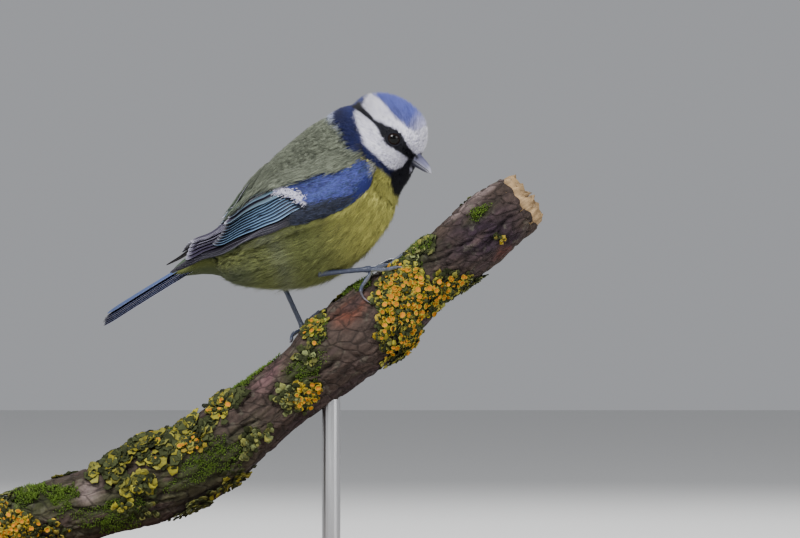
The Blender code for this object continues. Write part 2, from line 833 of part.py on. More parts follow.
def foot(name, toes, material, collection):
    """Four toes with pads and curved claws, joined where they meet."""
    solids = []
    for i, points in enumerate(toes):
        path = smooth_path(points, 3)
        count = len(path)
        claw_from = int(count * 0.62)
        radii = []
        placed = []
        for k, point in enumerate(path):
            if k <= claw_from:
                swell = 1.0 + 0.14 * math.sin(math.tau * k / 4.5)
                radius = TOE_RADIUS * swell * (1.0 - 0.12 * k / claw_from)
            else:
                share = (k - claw_from) / (count - 1 - claw_from)
                radius = CLAW_RADIUS * (1.0 - share) + 0.12 * share
            radii.append(radius)
            placed.append(over_branch(point, radius + GAP))
        solids.append(tube(f"{name}_{i}", placed, radii, material, collection, sides=8))
    body = solids[0]
    body.name = name
    join_pieces(body, solids[1:])
    return body


def leg(name, hip, joint, material, collection):
    """The bare lower leg, from its socket in the belly feathers to the toes' joint."""
    hip, joint = Vector(hip), Vector(joint)
    away = (hip - joint).normalized()
    ankle = [joint + away * (TOE_RADIUS + GAP + past) for past in (0.45, 1.25, 2.25)]
    points = ankle + [hip.lerp(joint, 0.45), hip]
    radii = [TARSUS_RADIUS * swell for swell in (1.15, 1.2, 0.97, 0.97, 1.18)]
    return tube(name, points, radii, material, collection, sides=10)


def leg_socket(hip, joint, collection):
    """The hole in the belly feathers that a leg comes out of."""
    hip, joint = Vector(hip), Vector(joint)
    away = (hip - joint).normalized()
    points = [hip + away * GAP, hip - away * 12.0]
    return tube("leg_socket", points, (0.8 + GAP + 0.05,) * 2, None, collection, sides=10)


def stand_base(name, material, collection):
    bm = bmesh.new()
    bmesh.ops.create_cube(bm, size=1.0)
    bmesh.ops.scale(bm, vec=(BASE_LENGTH, BASE_WIDTH, BASE_HEIGHT), verts=bm.verts)
    bmesh.ops.translate(bm, vec=(0, 0, BASE_HEIGHT / 2), verts=bm.verts)
    upright = [e for e in bm.edges if abs(e.verts[0].co.z - e.verts[1].co.z) > 1.0]
    bmesh.ops.bevel(
        bm, geom=upright, offset=BASE_CORNER, segments=6, profile=0.5, affect="EDGES", material=-1
    )
    rim = [e for e in bm.edges if min(v.co.z for v in e.verts) > BASE_HEIGHT - 0.01]
    bmesh.ops.bevel(bm, geom=rim, offset=1.2, segments=2, profile=0.5, affect="EDGES", material=-1)
    bmesh.ops.triangulate(bm, faces=bm.faces)
    return add_object(name, mesh_from(bm, name), material, collection)


def rod_top(x):
    """Height of a rod's end: just inside the underside of the branch."""
    places = [15.0 * i / 300 for i in range(301)]
    place = min(places, key=lambda p: abs(branch_point(p, 180.0).x - x))
    return branch_point(place, 180.0), place


def rod(name, x, material, collection, grow=0.0, raise_by=0.0):
    foot_z = BASE_HEIGHT - ROD_SOCKET - raise_by
    under, place = rod_top(x)
    top_z = under.z + ROD_SOCKET + raise_by
    points = [(x, under.y, foot_z), (x, under.y, top_z)]
    return tube(name, points, (ROD_RADIUS + grow,) * 2, material, collection, sides=20)


def main():
    for obj in list(bpy.data.objects):
        bpy.data.objects.remove(obj)
    bird = bpy.data.collections.new("blue_tit")
    bpy.context.scene.collection.children.link(bird)

    yellow = new_material("breast_yellow", (0.62, 0.58, 0.12), 0.8)
    white = new_material("cheek_white", (0.85, 0.86, 0.9), 0.8)
    collar = new_material("collar_blue", (0.07, 0.09, 0.25), 0.8)
    wing_blue = new_material("wing_blue", (0.16, 0.25, 0.55), 0.6)
    tail_blue = new_material("tail_blue", (0.2, 0.3, 0.55), 0.6)
    horn = new_material("bill_grey", (0.3, 0.32, 0.42), 0.4)
    eye_black = new_material("eye_black", (0.01, 0.008, 0.006), 0.05)
    leg_blue = new_material("leg_blue", (0.3, 0.33, 0.45), 0.5)
    bark = new_material("bark_brown", (0.2, 0.13, 0.09), 0.9)
    oak = new_material("base_oak", (0.35, 0.24, 0.15), 0.5)
    steel = new_material("rod_steel", (0.45, 0.45, 0.46), 0.3, 1.0)

    whole = add_object("whole", body_form(), None, bird)
    head_ball = add_object("head_ball", head_form(), None, bird)
    join_pieces(whole, [head_ball])
    shape = whole.data
    bpy.data.objects.remove(whole)

    centre, normal = ring_plane(TAIL_CUT)
    front = keep_side(shape, centre, -normal)
    centre, normal = ring_plane(NECK_CUT)
    torso = add_object("torso", keep_side(front, centre - normal * GAP / 2, normal), yellow, bird)
    upper = keep_side(front, centre + normal * GAP / 2, -normal)
    centre, normal = ring_plane(HEAD_CUT)
    neck = add_object("neck", keep_side(upper, centre - normal * GAP / 2, normal), collar, bird)
    head = add_object("head", keep_side(upper, centre + normal * GAP / 2, -normal), white, bird)

    lids = [lid_ring(f"lid_{side}", side, None, bird) for side in (1, -1)]
    join_pieces(head, lids)
    gapes = [gape_slit(side, bird) for side in (1, -1)]
    sockets = [ball("socket", eye_centre(side), EYE_RADIUS + GAP, None, bird, 20) for side in (1, -1)]
    cut_away(head, sockets + [bill_socket(bird)] + gapes)
    ball("eye_right", eye_centre(1), EYE_RADIUS, eye_black, bird)
    ball("eye_left", eye_centre(-1), EYE_RADIUS, eye_black, bird)
    upper_bill = bill_half("bill_upper", 1, horn, bird)
    nostrils = [
        ball("nostril", head_point((11.2, 1.75 * side, 1.0)), 0.36, None, bird, 8) for side in (1, -1)
    ]
    cut_away(upper_bill, nostrils)
    bill_half("bill_lower", -1, horn, bird)

    wing("wing_right", 1, wing_blue, bird)
    wing("wing_left", -1, wing_blue, bird)
    tail("tail", tail_blue, bird)

    for label, spec in FEET.items():
        foot(f"foot_{label}", spec["toes"], leg_blue, bird)
        leg(f"leg_{label}", spec["hip"], spec["joint"], leg_blue, bird)
        cut_away(torso, [leg_socket(spec["hip"], spec["joint"], bird)])

    perch = branch("perch_branch", bark, bird)
    base = stand_base("stand_base", oak, bird)
    for label, x in zip(("low", "high"), ROD_X):
        rod(f"stand_rod_{label}", x, steel, bird)
        holes = [rod("hole", x, None, bird, GAP, GAP) for _ in range(2)]
        cut_away(perch, holes[:1])
        cut_away(base, holes[1:])

    for obj in bird.objects:
        obj.data.shade_smooth()
        obj.data.set_sharp_from_angle(angle=math.radians(SMOOTH_ANGLE))


main()
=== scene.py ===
"""A life-size blue tit, dressed in its plumage, on a lichen-covered branch and a small stand."""

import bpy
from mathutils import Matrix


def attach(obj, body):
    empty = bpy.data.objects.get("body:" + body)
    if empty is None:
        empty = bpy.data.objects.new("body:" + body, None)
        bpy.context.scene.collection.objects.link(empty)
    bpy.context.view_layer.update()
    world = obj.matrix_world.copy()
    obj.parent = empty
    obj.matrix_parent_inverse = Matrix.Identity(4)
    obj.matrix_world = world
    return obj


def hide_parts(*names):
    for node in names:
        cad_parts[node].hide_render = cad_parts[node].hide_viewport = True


bl_info = {
    "name": "Blue Tit Model", "version": (1, 0, 0), "blender": (4, 5, 0), "location": "View3D > Sidebar > Blue Tit",
    "description": "Builds a life-size blue tit with its plumage, its mossy branch and a display stand",
    "category": "Object"
}

from math import acos, atan2, cos, degrees, exp, hypot, pi, radians, sin, sqrt, tau

import bmesh
import bpy
import numpy as np
from mathutils import Vector, noise
from mathutils.bvhtree import BVHTree

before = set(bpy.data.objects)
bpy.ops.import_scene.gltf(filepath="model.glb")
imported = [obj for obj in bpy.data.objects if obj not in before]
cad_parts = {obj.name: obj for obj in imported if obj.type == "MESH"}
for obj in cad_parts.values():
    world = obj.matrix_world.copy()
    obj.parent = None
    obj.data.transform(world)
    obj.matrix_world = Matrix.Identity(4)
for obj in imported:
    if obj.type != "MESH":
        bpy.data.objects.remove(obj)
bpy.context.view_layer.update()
MM = 0.001
# Millimetres from ring to ring of the body and of the branch
BODY_STEP = 6.8
BRANCH_STEP = 12.0
# Strands in each tuft of the head and body
TUFT_STRANDS = 9

# The bird's body, in millimetres and degrees, as its solids have it: centre x, centre z, lean of the
# ring, half depth back to belly, half width
BODY_ROLL = 12.0
BODY_RINGS = np.array(
    (
        (-28.6, 92.8, 35.0, 2.4, 5.6), (-22.0, 96.0, 33.0, 3.2, 5.8), (-16.2, 97.9, 31.0, 5.25, 7.6),
        (-9.8, 98.2, 27.0, 7.6, 10.0), (-3.9, 100.5, 22.5, 10.8, 12.4), (1.8, 104.4, 20.5, 15.0, 14.4),
        (7.6, 108.4, 21.5, 18.2, 15.7), (13.5, 112.2, 23.5, 19.2, 16.1), (18.9, 116.6, 25.5, 19.1, 15.9),
        (23.9, 121.6, 28.0, 18.0, 14.9), (28.2, 126.4, 30.5, 16.0, 13.3), (32.0, 129.8, 32.0, 12.7, 10.6)
    )
)
HEAD_CENTRE = (32.1, -0.6, 131.4)
HEAD_TURNS = (16, 31, 6)
EYE_PLACE = (4.9, 8.5, 3.6)
EYE_RADIUS = 2.1
EYE_BULGE = 1.1
BILL_ROOT = (8.6, 0, -0.1)
BILL_TIP = (16.6, 0, -0.6)
BILL_HALF_DEPTH = 2.25
BILL_HALF_WIDTH = 2.05

# Folded arm: place along the body, lowest and highest turn, thickness
WING_PAD = (
    (5.9, 80, 48, 0.9), (6.4, 84, 50, 1.5), (7.1, 88, 57, 1.9), (7.9, 93, 65, 2.1), (8.7, 97, 70, 2),
    (9.3, 98, 76, 1.6), (9.7, 94, 83, 0.9)
)

# Branch: axis x, axis y, axis z, radius
BRANCH_RINGS = np.array(
    (
        (-77.5, 1.5, 22.6, 8.3), (-69.0, 1.2, 25.4, 8.6), (-57.0, 0.8, 28.6, 8.7), (-45.0, 0.3, 32.3, 8.9),
        (-34.0, 0.0, 36.4, 9.0), (-23.0, 0.0, 41.4, 8.7), (-12.0, 0.2, 48.0, 8.6), (-1.4, 0.4, 56.3, 8.6),
        (9.5, 0.2, 65.2, 8.9), (20.0, 0.0, 73.6, 9.8), (29.0, 0.0, 81.4, 10.3), (37.0, 0.0, 88.2, 9.3),
        (45.5, -0.2, 95.4, 8.7), (54.0, -0.5, 102.2, 8.6), (62.0, -0.8, 108.6, 8.5), (69.5, -1.2, 114.2, 7.9)
    )
)
BRANCH_END = len(BRANCH_RINGS) - 1
BRANCH_KNOTS = (
    (8.9, 8, 1.5, 0.5, 45), (9.6, 100, 1.4, 0.9, 60), (10.3, 178, 1.5, 0.7, 50), (6.4, 150, 1.2, 0.7, 40),
    (4.1, 175, 1.4, 0.8, 45), (13.6, 40, 1.1, 0.9, 35), (13.4, 190, 1.2, 0.8, 40), (2, 20, 0.9, 0.9, 50),
    (4.5, 2, 3.2, 1, 60), (6.3, 5, 2, 0.8, 60), (5.4, 182, 2.6, 0.9, 50)
)


def colour_property(name, text, default):
    return bpy.props.FloatVectorProperty(
        name=name, description=text, subtype="COLOR", size=3, min=0.0, max=1.0, default=default
    )


def length_property(name, text, default):
    return bpy.props.FloatProperty(
        name=name, description=text, default=default, min=0.0, unit="LENGTH", precision=5
    )


def number_property(name, text, default, low):
    return bpy.props.IntProperty(name=name, description=text, default=default, min=low)


def power_property(name, text, default):
    return bpy.props.FloatProperty(name=name, description=text, default=default, min=0.0, unit="POWER")


class PlumageColours(bpy.types.PropertyGroup):
    """Feather colours."""

    cap: colour_property("Cap", "Blue of the crown", (0.045, 0.066, 0.33))
    white: colour_property("Cheek", "White of the cheeks, brow and forehead", (0.80, 0.78, 0.94))
    stripe: colour_property("Eye stripe", "Black of the eye stripe and bib", (0.006, 0.006, 0.012))
    collar: colour_property("Collar", "Dark blue of the collar", (0.010, 0.014, 0.075))
    nape: colour_property("Nape", "Pale patch behind the collar", (0.40, 0.43, 0.66))
    mantle: colour_property("Mantle", "Grey-green of the back", (0.185, 0.205, 0.150))
    rump: colour_property("Rump", "Blue-green of the rump", (0.11, 0.15, 0.105))
    breast: colour_property("Breast", "Yellow of the breast", (0.53, 0.51, 0.135))
    # The flanks' olive is set far darker than the breast: partly their duller colour, partly painted shade along
    # the lower body
    flank: colour_property("Flank", "Olive yellow of the flanks", (0.165, 0.185, 0.056))
    belly: colour_property("Belly", "Pale middle of the belly", (0.36, 0.37, 0.24))
    # The vent's greenish white is set dark: painted shade under the tail
    vent: colour_property("Vent", "Greenish white under the tail", (0.10, 0.12, 0.055))
    coverts: colour_property("Coverts", "Blue of the small wing feathers", (0.046, 0.060, 0.27))
    edge_blue: colour_property("Edges", "Pale blue edges of the flight feathers", (0.25, 0.42, 0.60))
    web_blue: colour_property("Outer webs", "Teal of the outer webs", (0.05, 0.09, 0.17))
    web_dark: colour_property("Inner webs", "Dark violet-grey of the inner webs", (0.016, 0.013, 0.024))
    web_green: colour_property("Tertials", "Grey-green of the innermost feathers", (0.07, 0.105, 0.125))
    tail: colour_property("Tail", "Light blue of the tail", (0.045, 0.085, 0.235))


class PlumageSizes(bpy.types.PropertyGroup):
    """Sizes and numbers of the small feathers."""

    voxel: length_property("Skin voxel", "Grain of the skin under the feathers", 0.00062)
    head_depth: length_property("Head coat", "Thickness of the feathers on the head", 0.00085)
    body_depth: length_property("Body coat", "Thickness of the feathers on the back", 0.0015)
    belly_depth: length_property("Belly coat", "Thickness of the feathers on the belly", 0.0022)
    head_tufts: number_property("Head feathers", "Number of small feathers on the head", 9000, 100)
    body_tufts: number_property("Body feathers", "Number of small feathers on the body", 6800, 100)
    covert_tufts: number_property("Wing feathers", "Number of small feathers on each wing", 1700, 50)
    seed: number_property("Seed", "Start of the random draws", 7, 0)


def smooth_rows(rows, t):
    """Values at place t, counted in rows, on a Catmull-Rom curve through the rows."""
    rows = np.asarray(rows, float)
    t = min(max(t, 0.0), len(rows) - 1.0)
    i = min(int(t), len(rows) - 2)
    u = t - i
    before = rows[i - 1] if i > 0 else 2 * rows[0] - rows[1]
    after = rows[i + 2] if i + 2 < len(rows) else 2 * rows[-1] - rows[-2]
    first, second = rows[i], rows[i + 1]
    return 0.5 * (
        2 * first + (second - before) * u + (
            2 * before - 5 * first + 4 * second - after
        ) * u**2 + (3 * first - before - 3 * second + after) * u**3
    )


def body_ring(place):
    """Centre, towards the back, towards the bird's right, half depth and half width of a ring."""
    x, z, lean, depth, width = smooth_rows(BODY_RINGS, place)
    lean = radians(lean)
    roll = radians(BODY_ROLL)
    up = np.array((-sin(lean), 0.0, cos(lean)))
    out = np.array((0.0, -1.0, 0.0))
    back = up * cos(roll) + out * sin(roll)
    right = out * cos(roll) - up * sin(roll)
    return np.array((x, 0.0, z)), back, right, depth, width


def body_point(place, turn, lift=0.0):
    """A point of the plumage: turn is 0 on the back, 90 on the right side and 180 on the belly."""
    centre, back, right, depth, width = body_ring(place)
    c, s = cos(radians(turn)), sin(radians(turn))
    out = np.array((c / depth, s / width))
    out /= np.linalg.norm(out)
    return centre + back * (depth * c + lift * out[0]) + right * (width * s + lift * out[1])


class BodyChart:
    """Finds the place along the body and the turn about it of many points at once."""

    def __init__(self):
        places = np.linspace(0.0, len(BODY_RINGS) - 1.0, 221)
        rings = [body_ring(place) for place in places]
        self.places = places
        self.centres = np.array([ring[0] for ring in rings])
        self.backs = np.array([ring[1] for ring in rings])
        self.rights = np.array([ring[2] for ring in rings])
        self.aheads = np.cross(self.backs, self.rights)
        self.table = np.array([np.concatenate((*ring[:3], ring[3:])) for ring in rings])

    def points(self, places, turns, lifts):
        """Points over the plumage, many at once, and the directions straight out of it."""
        steps = np.clip(places, 0, self.places[-1] - 1e-6) * 20.0
        first = steps.astype(int)
        rows = self.table[first] + (self.table[first + 1] - self.table[first]) * (steps - first)[:, None]
        centre, back, right, depth, width = rows[:, :3], rows[:, 3:6], rows[:, 6:9], rows[:, 9], rows[:, 10]
        c, s = np.cos(np.radians(turns)), np.sin(np.radians(turns))
        out = along_rows(np.stack((c / depth, s / width), 1))
        out = back * out[:, :1] + right * out[:, 1:]
        points = centre + back * (depth * c)[:, None] + right * (width * s)[:, None]
        return points + out * np.reshape(lifts, (-1, 1)), out

    def read(self, points):
        """Place, turn in degrees, and the direction towards the head of each point."""
        places = np.empty(len(points))
        turns = np.empty(len(points))
        aheads = np.empty((len(points), 3))
        for start in range(0, len(points), 4000):
            part = points[start : start + 4000]
            offset = part[:, None, :] - self.centres[None]
            past = np.abs((offset * self.aheads).sum(2))
            nearest = (past + 0.15 * np.linalg.norm(offset, axis=2)).argmin(1)
            rows = np.arange(len(part))
            chosen = offset[rows, nearest]
            ahead = self.aheads[nearest]
            along = (chosen * ahead).sum(1)
            places[start : start + 4000] = self.places[nearest] + along / 6.6
            across = (chosen * self.rights[nearest]).sum(1)
            up = (chosen * self.backs[nearest]).sum(1)
            turns[start : start + 4000] = np.degrees(np.arctan2(across, up))
            aheads[start : start + 4000] = ahead
        return places, turns, aheads


def head_axes():
    """The head's forward, right and up directions."""
    yaw, pitch, roll = (radians(a) for a in HEAD_TURNS)
    up = np.array((0.0, 0.0, 1.0))
    forward = np.array((cos(yaw), -sin(yaw), 0.0))
    right = np.array((-sin(yaw), -cos(yaw), 0.0))
    forward, up = (forward * cos(pitch) - up * sin(pitch), forward * sin(pitch) + up * cos(pitch))
    right, up = (right * cos(roll) - up * sin(roll), up * cos(roll) + right * sin(roll))
    return np.array((forward, right, up))


def head_point(place, side=1):
    """A point given forward, to the side and up from the head's centre. side is 1 on the right."""
    forward, right, up = head_axes()
    return np.array(HEAD_CENTRE) + forward * place[0] + right * (place[1] * side) + up * place[2]


def head_chart(points):
    """Each point's direction from the head's centre, drawn flat: 0, 0 is straight out sideways,
    +X is forward, +Y is up, and 90 degrees out is the head's middle plane. Also the side."""
    local = (points - np.array(HEAD_CENTRE)) @ head_axes().T
    far = np.linalg.norm(local, axis=1)
    side = np.where(local[:, 1] >= 0, 1.0, -1.0)
    from_side = np.degrees(np.arccos(np.clip(np.abs(local[:, 1]) / far, 0, 1)))
    angle = np.arctan2(local[:, 2], local[:, 0])
    spots = np.stack((from_side * np.cos(angle), from_side * np.sin(angle)), axis=1)
    return spots, side, far, local


def region(spots, outline, soft):
    """1 inside an outline, 0 outside, with an edge that is soft wide."""
    outline = np.array(outline, float)
    following = np.roll(outline, -1, axis=0)
    edge = following - outline
    offset = spots[:, None, :] - outline[None]
    share = np.clip((offset * edge).sum(2) / (edge**2).sum(1), 0, 1)
    distance = np.linalg.norm(offset - share[..., None] * edge, axis=2).min(1)
    x, y = spots[:, :1], spots[:, 1:]
    rise = np.where(np.abs(edge[:, 1]) < 1e-9, 1e-9, edge[:, 1])
    passes = (outline[:, 1] > y) != (following[:, 1] > y)
    left = x < edge[:, 0] * (y - outline[:, 1]) / rise + outline[:, 0]
    inside = (passes & left).sum(1) % 2 == 1
    return np.clip(0.5 + np.where(inside, distance, -distance) / soft, 0, 1)


def ramp(values, low, high):
    """0 under low, 1 over high, smooth between them."""
    t = np.clip((values - low) / (high - low), 0, 1)
    return t * t * (3 - 2 * t)


def blend(first, second, share):
    return first + (np.asarray(second) - first) * np.asarray(share)[..., None]


# Outlines of the head's markings on head_chart, in degrees
WHITE = (
    (-61, 60), (-49.5, 27), (-40, 19), (-26.1, 11), (-12, 3), (0.1, -5), (13.3, -10), (27.8, -15), (41.5, -21.5),
    (48.4, -24.6), (66, -22), (112, -34), (120, 60), (90, 110), (0, 120), (-60, 112), (-72, 80)
)
CAP = (
    (-57, 74), (-52, 66.5), (-30, 63), (-6.9, 57.5), (6, 53), (17, 50), (30.5, 48), (40, 45), (50, 47), (58, 54),
    (64, 66), (68, 80), (66, 110), (0, 115), (-74, 112), (-68, 80)
)
EYE_STRIPE = (
    (-66, 44), (-43.5, 37), (-25, 34.5), (-11.6, 32.5), (4, 33), (16, 35.5), (27, 35.5), (35, 31.5), (42, 27),
    (52, 22), (62, 17.5), (70, 14), (88, 11), (88, 0), (66, 0), (58.3, 3.5), (46, 6.5), (34, 8), (24, 9),
    (14, 12.5), (6, 18), (0, 23), (-8, 26), (-23.7, 27), (-40, 26), (-52, 24), (-66, 24)
)
CHEEK = (
    (-51, 25), (-40, 17.5), (-26.1, 9.8), (-12, 2), (0.1, -5.8), (13.3, -10.7), (27.8, -15.8), (41.5, -22.3),
    (48.4, -24.6), (58, -20), (62.9, -15.5), (64.5, -9.4), (66, 0), (58.3, 4), (43.6, 7.5), (30, 9), (18, 11.5),
    (10, 16), (3, 22), (-6, 26), (-23.7, 27.5), (-40, 26.5)
)
COLLAR = (
    (-58, 62), (-72, 64), (-88, 40), (-88, 14), (-76, 6), (-62, 1), (-46, -3.5), (-32, -7), (-16.8, -13),
    (-5.8, -16.5), (2.7, -17), (14, -19), (28, -23.5), (41, -30), (48, -33), (52, -24), (27.8, -15), (0, -4),
    (-12, 3.5), (-26, 11), (-49, 26), (-46, 42)
)
BIB = (
    (66, 0), (63.5, -9.4), (62.4, -15), (50, -24.5), (44, -27), (48, -40), (54, -56), (66, -74), (96, -74),
    (106, -40), (115, 0), (85, 3)
)
FAR_CHEEK = ((82, -20), (92, -22), (106, -40), (98, -70), (88, -70), (86, -40))


def plumage_tint(points, chart, ragged=None):
    """The colour of the small feathers at each point, in millimetres."""
    colours = bpy.context.scene.tit_colours
    place, turn, _ = chart.read(points)
    around = np.abs(turn)
    if ragged is None:
        ragged = np.zeros(len(points))
    tint = np.tile(np.array(colours.mantle), (len(points), 1))
    tint = blend(tint, colours.rump, ramp(place, 5, 3.6))
    under = ramp(around + 3 * ragged, 70, 84) * ramp(place, 4.4, 6)
    under = np.maximum(under, ramp(around + 3 * ragged, 58, 70) * ramp(place, 6, 4.4))
    under = np.maximum(under, ramp(around + 3 * ragged, 54, 64) * ramp(place, 9.35, 9.75))
    # Flank to breast along the body: the flank's darker tone is partly painted shade along the lower body
    yellow = blend(np.tile(np.array(colours.flank), (len(points), 1)), colours.breast, ramp(place, 6.2, 9.2))
    yellow = blend(yellow, colours.belly, 0.8 * ramp(around, 160, 176) * ramp(place, 8.6, 7.4))
    # The vent's dark tone is painted shade under the tail
    yellow = blend(yellow, colours.vent, ramp(place, 4.8, 3.2) * ramp(around, 78, 104))
    line = ramp(around + 4 * ragged, 174, 178) * ramp(place, 9.4, 8.6) * ramp(place, 5, 6)
    yellow = blend(yellow, colours.collar, 0.2 * line)
    tint = blend(tint, yellow, under)

    spots, _, far, _ = head_chart(points)
    spots = spots + 1.3 * ragged[:, None]
    on_head = ramp(-far, -21.5, -19.5)
    nape = region(np.stack((place, around), 1), ((9.3, -1), (9.4, 24), (9.8, 38), (10.9, 34), (11, -1)), 0.4)
    tint = blend(tint, colours.nape, 0.8 * nape)
    collar = on_head * region(spots, COLLAR, 2.5)
    tint = blend(tint, colours.collar, collar)
    tint = blend(tint, colours.cap, 0.7 * collar * ramp(spots[:, 1], 6, 44))
    tint = blend(tint, colours.white, on_head * region(spots, WHITE, 2.5) * ramp(-far, -18.5, -16.5))
    tint = blend(tint, colours.collar, collar * (1 - region(spots, CHEEK, 2.5)) * region(spots, WHITE, 2.5))
    tint = blend(tint, colours.white, on_head * region(spots, CHEEK, 2.5))
    cap = on_head * region(spots, CAP, 4)
    streak = 0.18 * np.sin(spots[:, 1] * 1.9 + 3 * ragged)
    tint = blend(tint, colours.cap, cap)
    tint = blend(tint, colours.collar, cap * (0.4 + streak) * ramp(-spots[:, 1], -76, -50))
    tint = blend(tint, colours.white, cap * (0.55 * ramp(spots[:, 0], 32, 62) + 0.05))
    tint = blend(tint, colours.stripe, on_head * region(spots, EYE_STRIPE, 2.5))
    tint = blend(tint, colours.stripe, on_head * region(spots, BIB, 2.5))
    return blend(tint, colours.white, 0.75 * on_head * region(spots, FAR_CHEEK, 3))


def coat_depth(points, chart):
    """How thick the small feathers are at each point, in millimetres."""
    sizes = bpy.context.scene.tit_sizes
    place, turn, _ = chart.read(points)
    _, _, far, local = head_chart(points)
    body = sizes.body_depth + (sizes.belly_depth - sizes.body_depth) * ramp(np.abs(turn), 80, 130)
    body = body * (0.45 + 0.55 * ramp(place, 0.8, 2.4))
    head = sizes.head_depth
    depth = body + (head - body) * ramp(-far, -17.5, -13)
    bare = np.full(len(points), 99)
    for spot, reach in ((BILL_ROOT, 3), (EYE_PLACE, 1.7)):
        for side in (1, -1):
            away = local - np.array((spot[0], spot[1] * side, spot[2]))
            bare = np.minimum(bare, np.linalg.norm(away, axis=1) - reach)
    return depth / MM * (0.4 + 0.6 * ramp(bare, 0, 3))


class Wire:
    """A socket in a material's nodes. Python's operators on it add Math nodes."""

    def __init__(self, paint, socket):
        self.paint = paint
        self.socket = socket

    def maths(self, operation, first, second=None, third=None):
        values = {i: v for i, v in enumerate((first, second, third)) if v is not None}
        return self.paint.add("Math", {"operation": operation}, values)

    def __add__(self, other):
        return self.maths("ADD", self, other)

    __radd__ = __add__

    def __sub__(self, other):
        return self.maths("SUBTRACT", self, other)

    def __rsub__(self, other):
        return self.maths("SUBTRACT", other, self)

    def __mul__(self, other):
        return self.maths("MULTIPLY", self, other)

    __rmul__ = __mul__

    def above(self, edge, soft):
        """0 below edge, 1 from edge + soft on."""
        values = {"Value": self, "From Min": edge, "From Max": edge + soft}
        return self.paint.add("MapRange", {"interpolation_type": "SMOOTHSTEP"}, values)


class Paint:
    """A material built from nodes."""

    def __init__(self, name, roughness=0.5, specular=0.5):
        self.material = bpy.data.materials.new(name)
        self.material.use_nodes = True
        self.nodes = self.material.node_tree.nodes
        self.links = self.material.node_tree.links
        self.shader = self.nodes["Principled BSDF"]
        self.shader.inputs["Roughness"].default_value = roughness
        self.shader.inputs["Specular IOR Level"].default_value = specular

    def add(self, kind, settings=None, values=None, output=0):
        """Adds a node, makes its settings, then fills its sockets with numbers or links."""
        node = self.nodes.new("ShaderNode" + kind)
        for name, value in (settings or {}).items():
            if name == "stops":
                ramp_stops = node.color_ramp.elements
                while len(ramp_stops) < len(value):
                    ramp_stops.new(1)
                for stop, (at, colour) in zip(ramp_stops, value):
                    stop.position = at
                    stop.color = (*colour, 1)
            else:
                setattr(node, name, value)
        for key, value in (values or {}).items():
            self.feed(node.inputs[key], value)
        return Wire(self, node.outputs[output])

    def feed(self, socket, value):
        if isinstance(value, Wire):
            self.links.new(value.socket, socket)
        elif socket.type == "RGBA":
            socket.default_value = (*(value if isinstance(value, tuple) else (value,) * 3), 1)
        else:
            socket.default_value = value

    def set(self, **values):
        """Fills the shader's own sockets. An underscore stands for a space."""
        for name, value in values.items():
            self.feed(self.shader.inputs[name.replace("_", " ")], value)
        return self.material

    def mix(self, share, first, second, blend_type="MIX"):
        settings = {"data_type": "RGBA", "blend_type": blend_type}
        return self.add("Mix", settings, {0: share, 6: first, 7: second}, output=2)

    def grained(self, share, pattern, low, high):
        """The tint of each point, darkened and lightened by a pattern."""
        return self.mix(share, self.attribute("tint"), self.mix(pattern, low, high), "MULTIPLY")

    def place(self):
        return self.add("TexCoord", output=3)

    def noise(self, scale, detail=3, vector=None, roughness=0.5, distortion=0):
        values = {"Scale": scale, "Detail": detail, "Roughness": roughness, "Distortion": distortion}
        values["Vector"] = vector or self.place()
        return self.add("TexNoise", None, values)

    def stretched(self, scale, vector=None, rotation=(0, 0, 0)):
        values = {"Vector": vector or self.place(), "Scale": scale, "Rotation": rotation}
        return self.add("Mapping", None, values)

    def attribute(self, name, output=0):
        return self.add("Attribute", {"attribute_name": name}, output=output)

    def bump(self, height, distance, strength=1):
        return self.add("Bump", None, {"Height": height, "Distance": distance, "Strength": strength})


def painted(name, build):
    """The material of that name, built once."""
    return bpy.data.materials.get(name) or build(name)


def feather_material(name):
    """Small feathers: the tint of each, with fine streaks and a dull silky gloss."""
    paint = Paint(name, roughness=0.62, specular=0.25)
    tint = paint.grained(0.30, paint.noise(2600, 2), 0.3, 1.6)
    paint.set(Sheen_Weight=0.04, Sheen_Roughness=0.5)
    return paint.set(Base_Color=tint)


def skin_material(name):
    """What shows between the small feathers: their downy bases, in a tint darkened as painted shade between the
    feathers.
    """
    paint = Paint(name, roughness=0.85, specular=0.1)
    grain = paint.noise(1400, 3)
    tint = paint.grained(0.4, grain, 0.4, 1.3)
    return paint.set(Base_Color=tint, Normal=paint.bump(grain, 0.0002))


def vane_material(name):
    """Wing and tail feathers: tinted by web, with slanting barbs and a shaft line."""
    paint = Paint(name, roughness=0.5, specular=0.35)
    tint = paint.attribute("tint")
    slant = paint.add("SeparateXYZ", None, {0: paint.add("UVMap", {"uv_map": "vane"})})
    across = Wire(paint, slant.socket.node.outputs[0])
    along = Wire(paint, slant.socket.node.outputs[1])
    lean = paint.add("Math", {"operation": "ABSOLUTE"}, {0: across})
    barbs = paint.add("Math", {"operation": "SINE"}, {0: (along + lean * 0.7) * 26000})
    mottle = paint.noise(900, 3)
    shade = paint.mix(barbs * 0.5 + 0.5, 0.97, 1.02)
    shade = paint.mix(0.25, shade, paint.mix(mottle, 0.3, 1.5), "MULTIPLY")
    tint = paint.mix(1, tint, shade, "MULTIPLY")
    return paint.set(Base_Color=tint, Normal=paint.bump(barbs, 0.000005, 0.3))


def show(form, name, material, nodes=()):
    """Makes a form, locks or mesh a piece of the model that stands for the solids named."""
    mesh = form
    if isinstance(form, Locks):
        mesh = form.mesh(name)
    elif isinstance(form, bmesh.types.BMesh):
        mesh = to_mesh(form, name)
    piece = bpy.data.objects.new(name, mesh)
    model_collection().objects.link(piece)
    mesh.materials.append(material)
    mesh.polygons.foreach_set("use_smooth", np.ones(len(mesh.polygons), bool))
    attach(piece, "root")
    if nodes:
        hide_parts(*nodes)
    return piece


